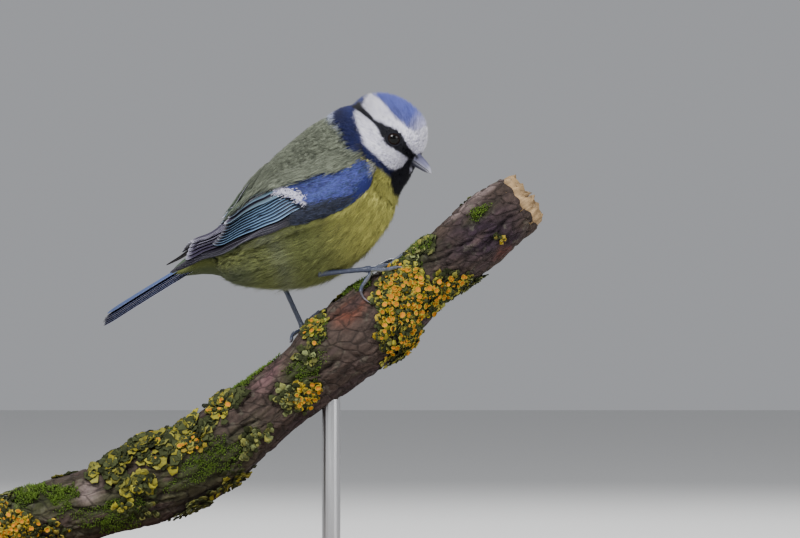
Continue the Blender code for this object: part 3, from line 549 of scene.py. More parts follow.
def model_collection():
    name = "Blue tit"
    if name not in bpy.data.collections:
        bpy.context.scene.collection.children.link(bpy.data.collections.new(name))
    return bpy.data.collections[name]


def to_mesh(bm, name):
    mesh = bpy.data.meshes.new(name)
    bm.to_mesh(mesh)
    bm.free()
    return mesh


def mesh_arrays(mesh):
    """A mesh's points in millimetres, its triangles and its points' normals."""
    points = np.empty(len(mesh.vertices) * 3)
    mesh.vertices.foreach_get("co", points)
    mesh.calc_loop_triangles()
    corners = np.empty(len(mesh.loop_triangles) * 3, dtype=np.int32)
    mesh.loop_triangles.foreach_get("vertices", corners)
    normals = np.empty(len(mesh.vertices) * 3)
    mesh.vertex_normals.foreach_get("vector", normals)
    return points.reshape(-1, 3) / MM, corners.reshape(-1, 3), normals.reshape(-1, 3)


def paint_points(mesh, colours):
    """Stores a colour for each point under the name that the materials read."""
    if "tint" in mesh.color_attributes:
        layer = mesh.color_attributes["tint"]
    else:
        layer = mesh.color_attributes.new("tint", "FLOAT_COLOR", "POINT")
    four = np.ones((len(mesh.vertices), 4))
    four[:, :3] = colours
    layer.data.foreach_set("color", four.ravel())


def along_rows(vectors):
    """Each row made one long."""
    return vectors / np.maximum(np.linalg.norm(vectors, axis=1, keepdims=True), 1e-9)


class Locks:
    """Many small closed shapes of one kind, gathered in one mesh."""

    def __init__(self, faces):
        self.faces = faces
        self.points = []
        self.tints = []
        self.spots = []

    def add(self, points, tints, spots):
        """points, tints and spots are by shape and by point of the shape."""
        self.points.append(points)
        self.tints.append(tints)
        self.spots.append(spots)

    def mesh(self, name):
        points = np.concatenate(self.points)
        tints = np.concatenate(self.tints)
        spots = np.concatenate(self.spots)
        count, size = points.shape[:2]
        corners = np.concatenate([np.array(face) for face in self.faces])
        sizes = np.array([len(face) for face in self.faces])
        loops = (corners[None] + (np.arange(count) * size)[:, None]).ravel()
        totals = np.tile(sizes, count)
        starts = np.concatenate(((0,), np.cumsum(totals)[:-1]))
        mesh = bpy.data.meshes.new(name)
        mesh.vertices.add(count * size)
        mesh.vertices.foreach_set("co", (points * MM).ravel())
        mesh.loops.add(len(loops))
        mesh.loops.foreach_set("vertex_index", loops.astype(np.int32))
        mesh.polygons.add(len(totals))
        mesh.polygons.foreach_set("loop_start", starts.astype(np.int32))
        mesh.update(calc_edges=True)
        paint_points(mesh, tints.reshape(-1, 3))
        layer = mesh.uv_layers.new(name="OFBake")
        layer.uv.foreach_set("vector", spots.reshape(-1, 2)[loops].ravel())
        return mesh


# A barb: root, middle and tip of a three-sided spike
BARB_FACES = ((0, 2, 1), (0, 1, 4, 3), (1, 2, 5, 4), (2, 0, 3, 5), (3, 4, 6), (4, 5, 6), (5, 3, 6))
# A shorter barb: a three-sided spike with no middle
NEEDLE_FACES = ((0, 2, 1), (0, 1, 3), (1, 2, 3), (2, 0, 3))
# How wide a tuft's patch is on the unwrap, and where a strand's points lie on it
PATCH = 0.003
BARB_SPOTS = ((-0.2, 0), (0.2, 0), (0, 0.1), (-0.2, 0.5), (0.2, 0.5), (0, 0.6), (0, 1))
NEEDLE_SPOTS = ((-0.3, 0), (0.3, 0), (0, 0.2), (0, 1))


def barbs(root, middle, tip, up, wide):
    """Spikes through three rows of points, as wide as wide at the middle: shapes of seven points."""
    ahead = along_rows(tip - root)
    side = along_rows(np.cross(up, ahead))
    half = wide[:, None] / 2
    ridge = up * (wide[:, None] * 0.5)
    return np.stack(
        (
            root - side * half * 0.6, root + side * half * 0.6, root + ridge * 0.6, middle - side * half,
            middle + side * half, middle + ridge, tip
        ),
        axis=1
    )


def needles(root, tip, up, wide):
    """Straight spikes from root to tip, as wide as wide at the root: shapes of four points."""
    side = along_rows(np.cross(up, tip - root)) * (wide[:, None] / 2)
    return np.stack((root - side, root + side, root + up * (wide[:, None] * 0.6), tip), axis=1)


def strand_spots(spots, across, flat=BARB_SPOTS):
    """Where each strand's points lie on the unwrap: a patch for its tuft, at the tuft's place."""
    out = np.zeros((len(spots), len(flat), 2))
    for i, (u, v) in enumerate(flat):
        out[:, i, 0] = spots[:, 0] + PATCH * (0.3 * across + 0.3 * u)
        out[:, i, 1] = spots[:, 1] + PATCH * (v - 0.5)
    return out


def unwrap(points, chart):
    """The place of each point on a flat unwrap of the skin: turn across, place along."""
    place, turn, _ = chart.read(points)
    return np.stack((0.5 + turn / 370, np.clip((place + 1.5) / 15, 0.005, 0.995)), axis=1)


class Ground:
    """The surface that small feathers grow from."""

    def __init__(self, mesh, pads=()):
        self.points, self.triangles, self.normals = mesh_arrays(mesh)
        corners = self.points[self.triangles]
        crossed = np.cross(corners[:, 1] - corners[:, 0], corners[:, 2] - corners[:, 0])
        self.areas = np.linalg.norm(crossed, axis=1) / 2
        self.middles = corners.mean(1)
        self.tree = BVHTree.FromPolygons(self.points.tolist(), self.triangles.tolist())
        points, triangles = self.points.tolist(), self.triangles.tolist()
        for pad in pads:
            pad_points, pad_triangles, _ = mesh_arrays(pad)
            triangles += (pad_triangles + len(points)).tolist()
            points += pad_points.tolist()
        self.dressed = BVHTree.FromPolygons(points, triangles)

    def draw(self, rng, count, weights):
        """Points spread evenly over the surface as the weights of its triangles say, with normals."""
        total = np.cumsum(self.areas * weights)
        picks = (np.arange(count) + rng.random(count)) / count * total[-1]
        chosen = np.minimum(np.searchsorted(total, picks), len(total) - 1)
        a, b = rng.random(count), rng.random(count)
        over = a + b > 1
        a[over], b[over] = 1 - a[over], 1 - b[over]
        shares = np.stack((1 - a - b, a, b), axis=1)[..., None]
        corners = self.triangles[chosen]
        return (self.points[corners] * shares).sum(1), along_rows((self.normals[corners] * shares).sum(1))

    def settle(self, points, normals, raised):
        """The nearest places on the dressed surface to points lifted along normals, and their normals."""
        places, ups = np.empty_like(points), np.empty_like(points)
        for i, point in enumerate(points + normals * np.reshape(raised, (-1, 1))):
            found, normal, _, _ = self.dressed.find_nearest(Vector(point))
            places[i] = found
            ups[i] = normal
        return places, ups


# Tones along a barb and along a needle, root to tip: the root is darkened as painted shade where the tufts overlap,
# and the tip is lighter
BARB_SHADE_TONES = np.array((0.4, 0.4, 0.45, 0.86, 0.86, 1, 1.2))
NEEDLE_SHADE_TONES = np.array((0.5, 0.5, 0.62, 1.2))


def tufts(rng, locks, ground, roots, ups, lies, look, tint_at, chart, strands):
    """Grows tufts of barbs. look holds a row for each tuft: length, spread, barb width, height at the
    middle, height at the tip, shade."""
    length, spread, wide, middle_height, tip_height, shade = (look[:, i] for i in range(6))
    short = locks.faces is NEEDLE_FACES
    lies = along_rows(lies - ups * (lies * ups).sum(1, keepdims=True))
    ahead = roots + lies * (length * 0.5)[:, None]
    middle, middle_up = ground.settle(ahead, ups, 0.8)
    middle_up = np.where((middle_up * ups).sum(1, keepdims=True) < 0.2, ups, middle_up)
    onward = along_rows(lies - middle_up * (lies * middle_up).sum(1, keepdims=True))
    tip, tip_up = ground.settle(middle + onward * (length * 0.5)[:, None], middle_up, 0.8)
    tip_up = np.where((tip_up * middle_up).sum(1, keepdims=True) < 0.2, middle_up, tip_up)
    side = along_rows(np.cross(middle_up, onward))
    spots = unwrap(roots, chart)
    count = len(roots)
    for k in range(strands):
        across = (k + 0.5) / strands * 2 - 1 + rng.normal(0, 0.25, count)
        reach = 1 - 0.22 * across**2 + rng.normal(0, 0.13, count)
        fan = (across * spread * length)[:, None] * side
        sway = (rng.normal(0, 0.07, count) * length)[:, None] * side
        start = roots + 0.25 * fan - ups * 0.25
        end = middle + (tip - middle) * reach[:, None] + fan + sway
        end = end + tip_up * (tip_height * (0.55 + 0.7 * rng.random(count)))[:, None]
        tint = tint_at(middle + 0.8 * fan)
        thick = wide * (0.8 + 0.4 * rng.random(count))
        tone = (shade * (0.66 + 0.62 * rng.random(count)))[:, None, None]
        flat = np.clip(across, -1, 1)
        if short:
            colour = tint[:, None, :] * tone * NEEDLE_SHADE_TONES[None, :, None]
            start = start + fan * 0.35
            locks.add(
                needles(start, end, middle_up, thick), np.clip(colour, 0, 1),
                strand_spots(spots, flat, NEEDLE_SPOTS)
            )
        else:
            rise = middle_height * (0.8 + 0.4 * rng.random(count))
            mid = middle + 0.62 * fan + middle_up * rise[:, None]
            colour = tint[:, None, :] * tone * BARB_SHADE_TONES[None, :, None]
            locks.add(barbs(start, mid, end, middle_up, thick), np.clip(colour, 0, 1), strand_spots(spots, flat))


def laid(rng, locks, chart, places, turns, slope, length, lifts, tints, wide, strands, spots_at):
    """Lays barbs over the wing: from each place and turn towards the tail. lifts holds the height of
    the root, middle and tip."""
    count = len(places)
    for _ in range(strands):
        start = places + rng.normal(0, 0.10, count)
        around = turns + rng.normal(0, 1.1, count)
        step = length * (0.8 + 0.4 * rng.random(count)) / BODY_STEP
        drift = np.sign(turns) * slope
        wave = np.sign(turns) * rng.normal(0, 0.8, count)
        root, up = chart.points(start, around, lifts[0])
        middle, _ = chart.points(start - step / 2, around - drift * step / 2, lifts[1])
        tip, _ = chart.points(start - step, around - drift * step + wave, lifts[2])
        tone = (0.8 + 0.4 * rng.random(count))[:, None, None]
        colour = np.clip(tints[:, None, :] * tone * BARB_SHADE_TONES[None, :, None], 0, 1)
        thick = wide * (0.8 + 0.4 * rng.random(count))
        locks.add(barbs(root, middle, tip, up, thick), colour, strand_spots(spots_at, rng.uniform(-1, 1, count)))


def soften(bm, rounds):
    axes = {f"use_axis_{axis}": True for axis in "xyz"}
    for _ in range(rounds):
        bmesh.ops.smooth_vert(bm, verts=bm.verts, factor=0.5, **axes)


def make_skin():
    """The body's surface under its feathers, taken from the head, neck and torso solids."""
    sizes = bpy.context.scene.tit_sizes
    chart = BodyChart()
    grown = bmesh.new()
    for node in ("head", "neck", "torso"):
        part = bmesh.new()
        part.from_mesh(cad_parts[node].data)
        bmesh.ops.remove_doubles(part, verts=part.verts, dist=0.000001)
        part.normal_update()
        moved = [(vert, vert.co + vert.normal * 0.0002) for vert in part.verts]
        for vert, place in moved:
            vert.co = place
        copied = to_mesh(part, node + "_copy")
        grown.from_mesh(copied)
        bpy.data.meshes.remove(copied)
    rough = bpy.data.objects.new("rough_skin", to_mesh(grown, "rough_skin"))
    model_collection().objects.link(rough)
    remesh = rough.modifiers.new("Remesh", "REMESH")
    remesh.mode = "VOXEL"
    remesh.voxel_size = sizes.voxel
    evaluated = rough.evaluated_get(bpy.context.evaluated_depsgraph_get())
    bm = bmesh.new()
    bm.from_mesh(evaluated.to_mesh())
    evaluated.to_mesh_clear()
    bpy.data.objects.remove(rough)
    soften(bm, 6)
    mesh = to_mesh(bm, "skin")
    points, _, normals = mesh_arrays(mesh)
    points = points - normals * (0.2 + coat_depth(points, chart))[:, None]
    mesh.vertices.foreach_set("co", (points * MM).ravel())
    bm = bmesh.new()
    bm.from_mesh(mesh)
    bpy.data.meshes.remove(mesh)
    soften(bm, 4)
    mesh = to_mesh(bm, "skin")
    points, _, _ = mesh_arrays(mesh)
    # The skin takes the plumage's tint at 0.7: painted shade between and under the feathers
    paint_points(mesh, plumage_tint(points, chart) * 0.7)
    return mesh


def pad_point(side, u, v):
    """A point round the folded arm's pad: v from its tail end to its front, u round its section."""
    place, low, high, thick = smooth_rows(WING_PAD, v * (len(WING_PAD) - 1))
    over = u <= 0.6
    share = u / 0.6 if over else (1 - u) / 0.4
    turn = low + 3 + (high - 3 - low - 3) * share
    rise = 0.2 + thick * max(0, sin(pi * share)) ** 0.7 if over else -2
    return body_point(place, turn * side, rise)


def make_pad(side):
    bm = new_form()
    wrap(bm, 30, 26, lambda column, row: pad_point(side, column % 30 / 30, row / 26))
    return to_mesh(bm, "pad")


def under_wing(place, turn):
    """1 where the folded wing hides the body."""
    around = np.abs(turn)
    low = np.interp(place, *WING_LOW) - 1.5
    high = np.interp(
        place, (0.4, 1.2, 2.2, 3.2, 3.8, 4.3, 5.1, 6.4, 7.6, 8.1, 8.9, 9.6),
        (74, 68, 50, 34, 22, 15, 31, 55, 66, 68.5, 73, 82)
    )
    inside = (around > high) & (around < low) & (place > 0.5) & (place < 9.6)
    return inside.astype(float)


def face_offsets(local, side):
    """Each point's offset from the eye on its side, and its distance from the root of the bill."""
    eyes = np.stack((np.full(len(side), 4.9), 8.5 * side, np.full(len(side), 3.6)), 1)
    return local - eyes, np.linalg.norm(local - np.array((8.9, 0, -0.3)), axis=1)


class TIT_OT_plumage(bpy.types.Operator):
    """Make the skin and every small feather of the head and body"""

    bl_idname = "blue_tit.plumage"
    bl_label = "Plumage"

    def execute(self, context):
        sizes = context.scene.tit_sizes
        rng = np.random.default_rng(sizes.seed)
        chart = BodyChart()
        mesh = make_skin()
        skin = painted("downy skin", skin_material)
        coat = painted("small feathers", feather_material)
        piece = show(mesh, "skin", skin, ("head", "neck", "torso"))
        pads = [make_pad(side) for side in (1, -1)]
        ground = Ground(piece.data, pads)
        for pad in pads:
            bpy.data.meshes.remove(pad)
        place, turn, _ = chart.read(ground.middles)
        _, side, far, local = head_chart(ground.middles)
        from_eye, bill = face_offsets(local, side)
        eye = np.linalg.norm(from_eye, axis=1)
        on_head = ramp(-far, -17, -15) * ramp(place, 9.6, 10)
        bare = (eye > 2.15) * (bill > 2.3)
        fine = 1 + 1.2 * ramp(-eye, -5, -2.5) + 1.2 * ramp(-bill, -6, -3)
        self.head(rng, chart, ground, coat, sizes, on_head * bare * fine)
        hidden = under_wing(place, turn)
        shown = (1 - on_head) * (1 - hidden) * (place > 0.9) * (0.55 + 0.45 * ramp(place, 5, 7))
        self.body(rng, chart, ground, coat, sizes, shown)
        return {"FINISHED"}

    def head(self, rng, chart, ground, coat, sizes, weights):
        roots, ups = ground.draw(rng, sizes.head_tufts, weights)
        spots, side, _, local = head_chart(roots)
        axes = head_axes()
        bill = local - np.array((8, 0, 0))
        lie = bill - np.array((0.35, 0, 0)) * np.linalg.norm(bill, axis=1, keepdims=True)
        from_eye, from_bill = face_offsets(local, side)
        near = np.linalg.norm(from_eye, axis=1)
        lie = along_rows(lie) + along_rows(from_eye) * (0.9 * ramp(-near, -4.5, -2))[:, None]
        lies = lie @ axes
        length = 1 + 1.3 * ramp(from_bill, 2, 14) + 0.7 * ramp(spots[:, 1], 30, 62)
        length *= 0.55 + 0.45 * ramp(near, 2.4, 5)
        length *= 0.9 + 0.25 * rng.random(len(roots))
        depth = coat_depth(roots, chart)
        ragged = rng.normal(0, 0.35, len(roots))
        look = np.stack(
            (
                length, np.full(len(roots), 0.2), 0.11 + 0.035 * ramp(from_bill, 2, 9), depth * 0.7,
                depth * 1.15 + 0.75 * ramp(spots[:, 1], 30, 62), 1.14 - 0.5 * rng.random(len(roots)) ** 2.2
            ),
            axis=1
        )
        zones = (
            ("coat_crown", (spots[:, 1] > 30), "plumage_head"),
            ("coat_face", (spots[:, 1] <= 30) & (spots[:, 0] > -8), "plumage_head"),
            ("coat_cheeks", (spots[:, 1] <= 30) & (spots[:, 0] <= -8), "plumage_collar")
        )
        self.grow(rng, ground, chart, coat, NEEDLE_FACES, (roots, ups, lies, look), ragged, zones)

    def body(self, rng, chart, ground, coat, sizes, weights):
        roots, ups = ground.draw(rng, sizes.body_tufts, weights)
        place, turn, ahead = chart.read(roots)
        around = np.abs(turn)
        lies = -ahead
        length = 3.8 + 1.8 * ramp(around, 70, 110) + 1.6 * ramp(around, 120, 160) * ramp(place, 9.5, 7.5)
        length = length * (0.7 + 0.3 * ramp(place, 11, 9)) * (0.6 + 0.4 * ramp(place, 1, 3))
        length *= 0.85 + 0.3 * rng.random(len(roots))
        depth = coat_depth(roots, chart)
        loose = rng.random(len(roots)) ** 4 * ramp(around, 80, 120) * 0.9
        look = np.stack(
            (
                length, np.full(len(roots), 0.14), np.full(len(roots), 0.12), depth * 0.72,
                depth * (0.95 + loose * 0.6), 0.5 + 0.85 * rng.random(len(roots)) ** 0.8
            ),
            axis=1
        )
        ragged = rng.normal(0, 0.5, len(roots))
        zones = (
            ("coat_mantle", (around < 72) & (place >= 5), "plumage_wing"),
            ("coat_rump", (place < 5), "plumage_tail"),
            ("coat_breast_right", (around >= 72) & (place >= 8.3) & (turn > 0), "plumage_breast"),
            ("coat_breast_left", (around >= 72) & (place >= 8.3) & (turn <= 0), "plumage_breast"),
            ("coat_flank_right", (around >= 72) & (place < 8.3) & (place >= 5) & (turn > 0), "plumage_breast"),
            ("coat_flank_left", (around >= 72) & (place < 8.3) & (place >= 5) & (turn <= 0), "plumage_breast")
        )
        self.grow(rng, ground, chart, coat, BARB_FACES, (roots, ups, lies, look), ragged, zones)

    def grow(self, rng, ground, chart, coat, faces, drawn, ragged, zones):
        """Grows the tufts drawn, zone by zone, as one piece for each zone."""
        for name, chosen, slot_name in zones:
            locks = Locks(faces)
            tint = lambda points, picked=ragged[chosen]: plumage_tint(points, chart, picked)
            tufts(rng, locks, ground, *(rows[chosen] for rows in drawn), tint, chart, TUFT_STRANDS)
            show(locks, name, coat)


FEET = {
    "right": (
        (28.7, -5, 96),
        (15.5, -6.6, 94.8),
        (
            ((28.7, -5, 96), (28.4, -5, 94.3), (27.2, -5.6, 92.5), (26.1, -7, 90.4),
             (26.9, -9.2, 88.2), (28.8, -10.6, 86.7)),
            ((28.9, -5.2, 95.9), (31.4, -6, 95.8), (33.6, -6.8, 96), (35.4, -7.4, 96.4),
             (37.2, -8.2, 96.4), (38.2, -8.8, 95.2)),
            ((28.9, -5, 96), (31.6, -4.4, 96.6), (34.8, -3.8, 97.6), (37.4, -3.4, 99.4),
             (39.6, -3.4, 100.6), (41, -3.6, 99.8)),
            ((28.9, -4.8, 96), (31, -2, 96.8), (33.2, 0.8, 98), (34.6, 3, 98.4),
             (35.6, 5, 98), (36, 6.2, 96.6)),
        ),
    ),
    "left": (
        (10.5, 4.6, 79.4),
        (3.8, 6.2, 94),
        (
            ((10.5, 4.6, 79.4), (8.8, 3.4, 79), (7.6, 2.2, 78.2), (7.2, 1, 77),
             (7.7, -0.6, 75), (9.4, -2.4, 73.4)),
            ((10.7, 4.4, 79.2), (12.4, 3, 78.8), (14.4, 2.4, 80), (16.4, 2.2, 81.6),
             (18.2, 2.2, 82.8), (19.4, 2.4, 82)),
            ((10.7, 4.8, 79.2), (13, 5.8, 79.2), (15.8, 6.6, 80.2), (18.4, 7.2, 81.2),
             (20.4, 8, 81.6), (21.4, 8.8, 80.4)),
            ((10.7, 5, 79.2), (12, 7.4, 78.6), (13.8, 9.2, 78.2), (15.4, 10.4, 77.6),
             (16.6, 11.2, 76.4), (16.8, 11.6, 75)),
        ),
    ),
}
CLAW_START = 0.62
TARSUS_RADIUS = 0.68
TOE_RADIUS = 0.6
CLAW_RADIUS = 0.42


def new_form():
    """An empty form whose points carry a tint and a place on a feather."""
    bm = bmesh.new()
    bm.verts.layers.float_color.new("tint")
    bm.verts.layers.float_vector.new("vane")
    return bm


def wrap(bm, columns, rows, place_of, tint_of=None, vane_of=None):
    """Adds a grid whose points are moved to place_of(column, row), in millimetres, and closed where
    its edges meet."""
    tint = bm.verts.layers.float_color["tint"]
    vane = bm.verts.layers.float_vector["vane"]
    grid = bmesh.ops.create_grid(bm, x_segments=columns, y_segments=rows, size=0.5)["verts"]
    for vert in grid:
        column, row = round((vert.co.x + 0.5) * columns), round((vert.co.y + 0.5) * rows)
        vert.co = Vector(place_of(column, row)) * MM
        if tint_of:
            vert[tint] = (*tint_of(column, row), 1.0)
        if vane_of:
            vert[vane] = vane_of(column, row)
    bmesh.ops.remove_doubles(bm, verts=grid, dist=0.000002)
    kept = [vert for vert in grid if vert.is_valid]
    rim = list({edge for vert in kept for edge in vert.link_edges if edge.is_boundary})
    if rim:
        bmesh.ops.holes_fill(bm, edges=rim, sides=0)
    faces = list({face for vert in kept for face in vert.link_faces})
    bmesh.ops.recalc_face_normals(bm, faces=faces)
    return kept


def limb(bm, points, radius_of, tint_of, columns=14, rows=48, flat=1.0):
    """A tube through the points. radius_of and tint_of take the share along and the angle round."""
    last = len(points) - 1
    line = np.array([smooth_rows(points, last * i / rows) for i in range(rows + 1)])
    ahead = along_rows(np.gradient(line, axis=0))
    above = np.array((0.0, 0.0, 1.0)) + np.array((-0.35, 0.0, 0.0))
    side = along_rows(np.cross(ahead, above))
    up = np.cross(side, ahead)

    def place_of(column, row):
        angle = tau * column / columns
        radius = radius_of(row / rows, angle)
        return line[row] + (side[row] * cos(angle) + up[row] * (flat * sin(angle))) * radius

    wrap(bm, columns, rows, place_of, lambda c, r: tint_of(r / rows, tau * c / columns))


def leg_material(name):
    """Blue-grey scaled skin."""
    paint = Paint(name, roughness=0.42, specular=0.45)
    grain = paint.noise(1500.0, 4.0)
    tint = paint.grained(0.5, grain, 0.4, 1.6)
    cells = paint.add("TexVoronoi", {"feature": "DISTANCE_TO_EDGE"}, {"Scale": 2600.0, "Vector": paint.place()})
    return paint.set(Base_Color=tint, Normal=paint.bump(cells, 0.00006, 0.7))


def horn_material(name):
    """Smooth horn of the bill and claws, with fine lines of growth."""
    paint = Paint(name, roughness=0.3, specular=0.5)
    grain = paint.noise(1100.0, 4.0, paint.stretched((0.3, 1.0, 1.0)))
    shade = paint.mix(grain, (0.55, 0.55, 0.58), 1.4)
    tint = paint.mix(0.6, paint.attribute("tint"), shade, "MULTIPLY")
    gloss = 0.24 + grain * 0.2
    return paint.set(Base_Color=tint, Roughness=gloss, Normal=paint.bump(grain, 0.00004, 0.5))


def eye_material(name):
    """Wet, nearly black eye with a dark brown iris."""
    paint = Paint(name, roughness=0.08, specular=0.15)
    fibre = paint.noise(1800.0, 3.0)
    tint = paint.grained(0.5, fibre, 0.4, 1.5)
    paint.set(Coat_Weight=0.05, Coat_Roughness=0.03)
    return paint.set(Base_Color=tint)


def lid_material(name):
    """Bare dark rim of the eyelids."""
    paint = Paint(name, roughness=0.75, specular=0.12)
    grain = paint.noise(2400.0, 3.0)
    tint = paint.mix(grain, (0.004, 0.004, 0.006), (0.014, 0.014, 0.020))
    return paint.set(Base_Color=tint, Normal=paint.bump(grain, 0.00006))


def eye_outward(side):
    forward, right, up = head_axes()
    out = forward * 0.42 + right * (0.88 * side) + up * 0.2
    return out / np.linalg.norm(out)


def eye_centre(side):
    return head_point(EYE_PLACE, side) - eye_outward(side) * (EYE_RADIUS - EYE_BULGE)


class TIT_OT_eyes(bpy.types.Operator):
    """Make the eyes and the rims of their lids"""

    bl_idname = "blue_tit.eyes"
    bl_label = "Eyes"

    def execute(self, context):
        sizes = context.scene.tit_face
        glass = painted("dark eye", eye_material)
        rim = painted("eyelid", lid_material)
        for label, side in (("right", 1), ("left", -1)):
            outward = eye_outward(side)
            turn = Vector((0, 0, 1)).rotation_difference(Vector(outward)).to_matrix()
            bm = new_form()
            bmesh.ops.create_uvsphere(bm, u_segments=48, v_segments=36, radius=EYE_RADIUS * MM)
            tint = bm.verts.layers.float_color["tint"]
            for vert in bm.verts:
                angle = degrees(acos(max(-1.0, min(1.0, vert.co.z / (EYE_RADIUS * MM)))))
                pupil = 1.0 if angle < 34 else 0.0
                iris = np.array(sizes.iris) * (1.0 if angle < 62 else 0.3)
                vert[tint] = (*(iris * (1 - pupil) + 0.002), 1.0)
                vert.co = turn @ vert.co + Vector(eye_centre(side)) * MM
            bmesh.ops.recalc_face_normals(bm, faces=bm.faces)
            show(bm, f"eye_ball_{label}", glass, [f"eye_{label}"])
            show(self.lids(side, outward, sizes), f"eyelids_{label}", rim)
        return {"FINISHED"}

    def lids(self, side, outward, sizes):
        """Two fleshy rims that meet in front of and behind the eye."""
        centre = eye_centre(side)
        forward = head_axes()[0]
        ahead = forward - outward * (forward @ outward)
        ahead /= np.linalg.norm(ahead)
        above = np.cross(outward, ahead) * -side
        bm = new_form()
        rounds = 56

        def place_of(column, row):
            angle = tau * row / rounds
            around = tau * column / 10
            almond = 1.0 - 0.07 * abs(sin(angle)) ** 1.5 + 0.05 * abs(cos(angle)) ** 6
            out = ahead * cos(angle) + above * sin(angle)
            reach = 1.80 * almond
            sit = sqrt(max(0.1, (EYE_RADIUS + 0.06) ** 2 - reach**2))
            thick = sizes.lid / MM * (1.0 + 0.16 * sin(14 * angle) * (cos(around) > 0))
            ring = out * cos(around) * thick * 1.5 + outward * sin(around) * thick
            return centre + out * (reach + thick * 0.7) + outward * sit + ring

        wrap(bm, 10, rounds, place_of)
        return to_mesh(bm, "eyelids")


def bill_point(half, u, v):
    """A point of the bill: v from root to tip, u round the outside and back along the inside."""
    share = v
    root, tip = np.array(BILL_ROOT), np.array(BILL_TIP)
    middle = root + (tip - root) * share
    taper = sqrt(max(0.0, 1.0 - share**1.35))
    depth = max(0.05, BILL_HALF_DEPTH * taper)
    width = max(0.05, BILL_HALF_WIDTH * taper**1.2)
    if half < 0:
        depth *= 0.8
    droop = 0.35 * share**2
    hook = 0.28 * ramp(share, 0.86, 1.0) if half > 0 else 0.0
    rim = 0.08 * half - hook
    if u <= 0.72:
        angle = pi * u / 0.72
        sharp = 0.85 if half > 0 else 1.0
        side = width * cos(angle)
        rise = depth * sin(angle) ** sharp
        keel = 0.12 * exp(-(((u / 0.72 - 0.5) / 0.1) ** 2)) * (1 - share) if half > 0 else 0.0
        rise = rim + half * (rise + keel)
    else:
        share_in = (u - 0.72) / 0.28
        side = width * (-1 + 2 * share_in)
        rise = rim + half * 0.12 * sin(pi * share_in)
    nostril = exp(-(((middle[0] - 11.0) / 0.5) ** 2) - ((rise - 1.0) / 0.3) ** 2) if half > 0 else 0.0
    return head_point((middle[0], side * (1 - 0.25 * nostril), middle[2] - droop + rise))


class TIT_OT_bill(bpy.types.Operator):
    """Make both halves of the bill and the bristles at its root"""

    bl_idname = "blue_tit.bill"
    bl_label = "Bill"

    def execute(self, context):
        face = context.scene.tit_face
        horn = painted("bill horn", horn_material)
        base, pale, dark = (np.array(c) for c in (face.bill, face.bill_tip, face.bill_dark_and_shade))
        columns, rows = 40, 44
        for label, half in (("upper", 1), ("lower", -1)):
            bm = new_form()

            def tint_of(column, row):
                u, v = column / columns, (row / rows) ** 0.8
                # The lower half takes the darker tone: its own dark grey and painted shadow under the bill
                tone = base if half > 0 else dark
                edge = exp(-((min(u, abs(u - 0.72)) / 0.05) ** 2))
                tone = tone + (pale - tone) * (0.55 * edge * (0.4 + 0.6 * v))
                tone = tone + (pale - tone) * ramp(v, 0.72, 1.0) * 0.8
                # A dark spot at each nostril: painted shade in its opening
                nostril_shade = exp(-(((v - 0.3) / 0.07) ** 2) - ((min(u, 0.72 - u) - 0.14) / 0.05) ** 2)
                return tone * (1 - 0.95 * nostril_shade * (half > 0))

            wrap(
                bm, columns, rows, lambda column, row: bill_point(half, column / columns, (row / rows) ** 0.8),
                tint_of
            )
            show(bm, f"bill_{label}_half", horn, [f"bill_{label}"])
        self.bristles(context)
        return {"FINISHED"}

    def bristles(self, context):
        """Fine bristles over the nostrils and along the gape."""
        colours = context.scene.tit_colours
        rng = np.random.default_rng(context.scene.tit_sizes.seed + 5)
        locks = Locks(BARB_FACES)
        axes = head_axes()
        count = 420
        angle = rng.uniform(-0.35, pi + 0.35, count)
        out = 0.86 + 0.14 * rng.random(count)
        start = np.stack((8.9 + 0.3 * rng.random(count), 2.35 * np.cos(angle) * out, 2.3 * np.sin(angle) * out), 1)
        length = 1.1 + 1.1 * rng.random(count)
        aim = np.stack((np.ones(count), 0.28 * np.cos(angle), 0.34 * np.sin(angle)), 1)
        aim = along_rows(aim + rng.normal(0, 0.12, (count, 3)))
        bend = np.stack((np.ones(count), -0.22 * np.cos(angle), -0.2 * np.sin(angle)), 1)
        mid = start + aim * (length * 0.5)[:, None]
        tip = mid + along_rows(bend) * (length * 0.5)[:, None]
        centre = np.array(HEAD_CENTRE)
        up = along_rows(np.stack((np.zeros(count), np.cos(angle), np.sin(angle)), 1)) @ axes
        shape = barbs(centre + start @ axes, centre + mid @ axes, centre + tip @ axes, up, np.full(count, 0.09))
        black = (np.sin(angle) < 0.55) | (rng.random(count) < 0.25)
        tint = np.where(black[:, None], np.array(colours.stripe), np.array(colours.white) * 0.7)
        spots = np.stack((0.5 + angle * 0.01, np.full(count, 0.97)), axis=1)
        locks.add(shape, np.repeat(tint[:, None], 7, 1), strand_spots(spots, np.zeros(count)))
        coat = painted("small feathers", feather_material)
        show(locks, "bill_bristles", coat)


def branch_frame(place):
    """Centre, along, up and right directions, and radius of the branch at a place counted in rings."""
    x, y, z, radius = smooth_rows(BRANCH_RINGS, place)
    ahead = smooth_rows(BRANCH_RINGS, min(place + 0.1, BRANCH_END))
    behind = smooth_rows(BRANCH_RINGS, max(place - 0.1, 0))
    along = ahead[:3] - behind[:3]
    along /= np.linalg.norm(along)
    right = np.array((0.0, -1.0, 0.0))
    up = np.cross(along, right)
    up /= np.linalg.norm(up)
    if up[2] < 0:
        up = -up
    right = right - along * (right @ along)
    return np.array((x, y, z)), along, up, right / np.linalg.norm(right), radius


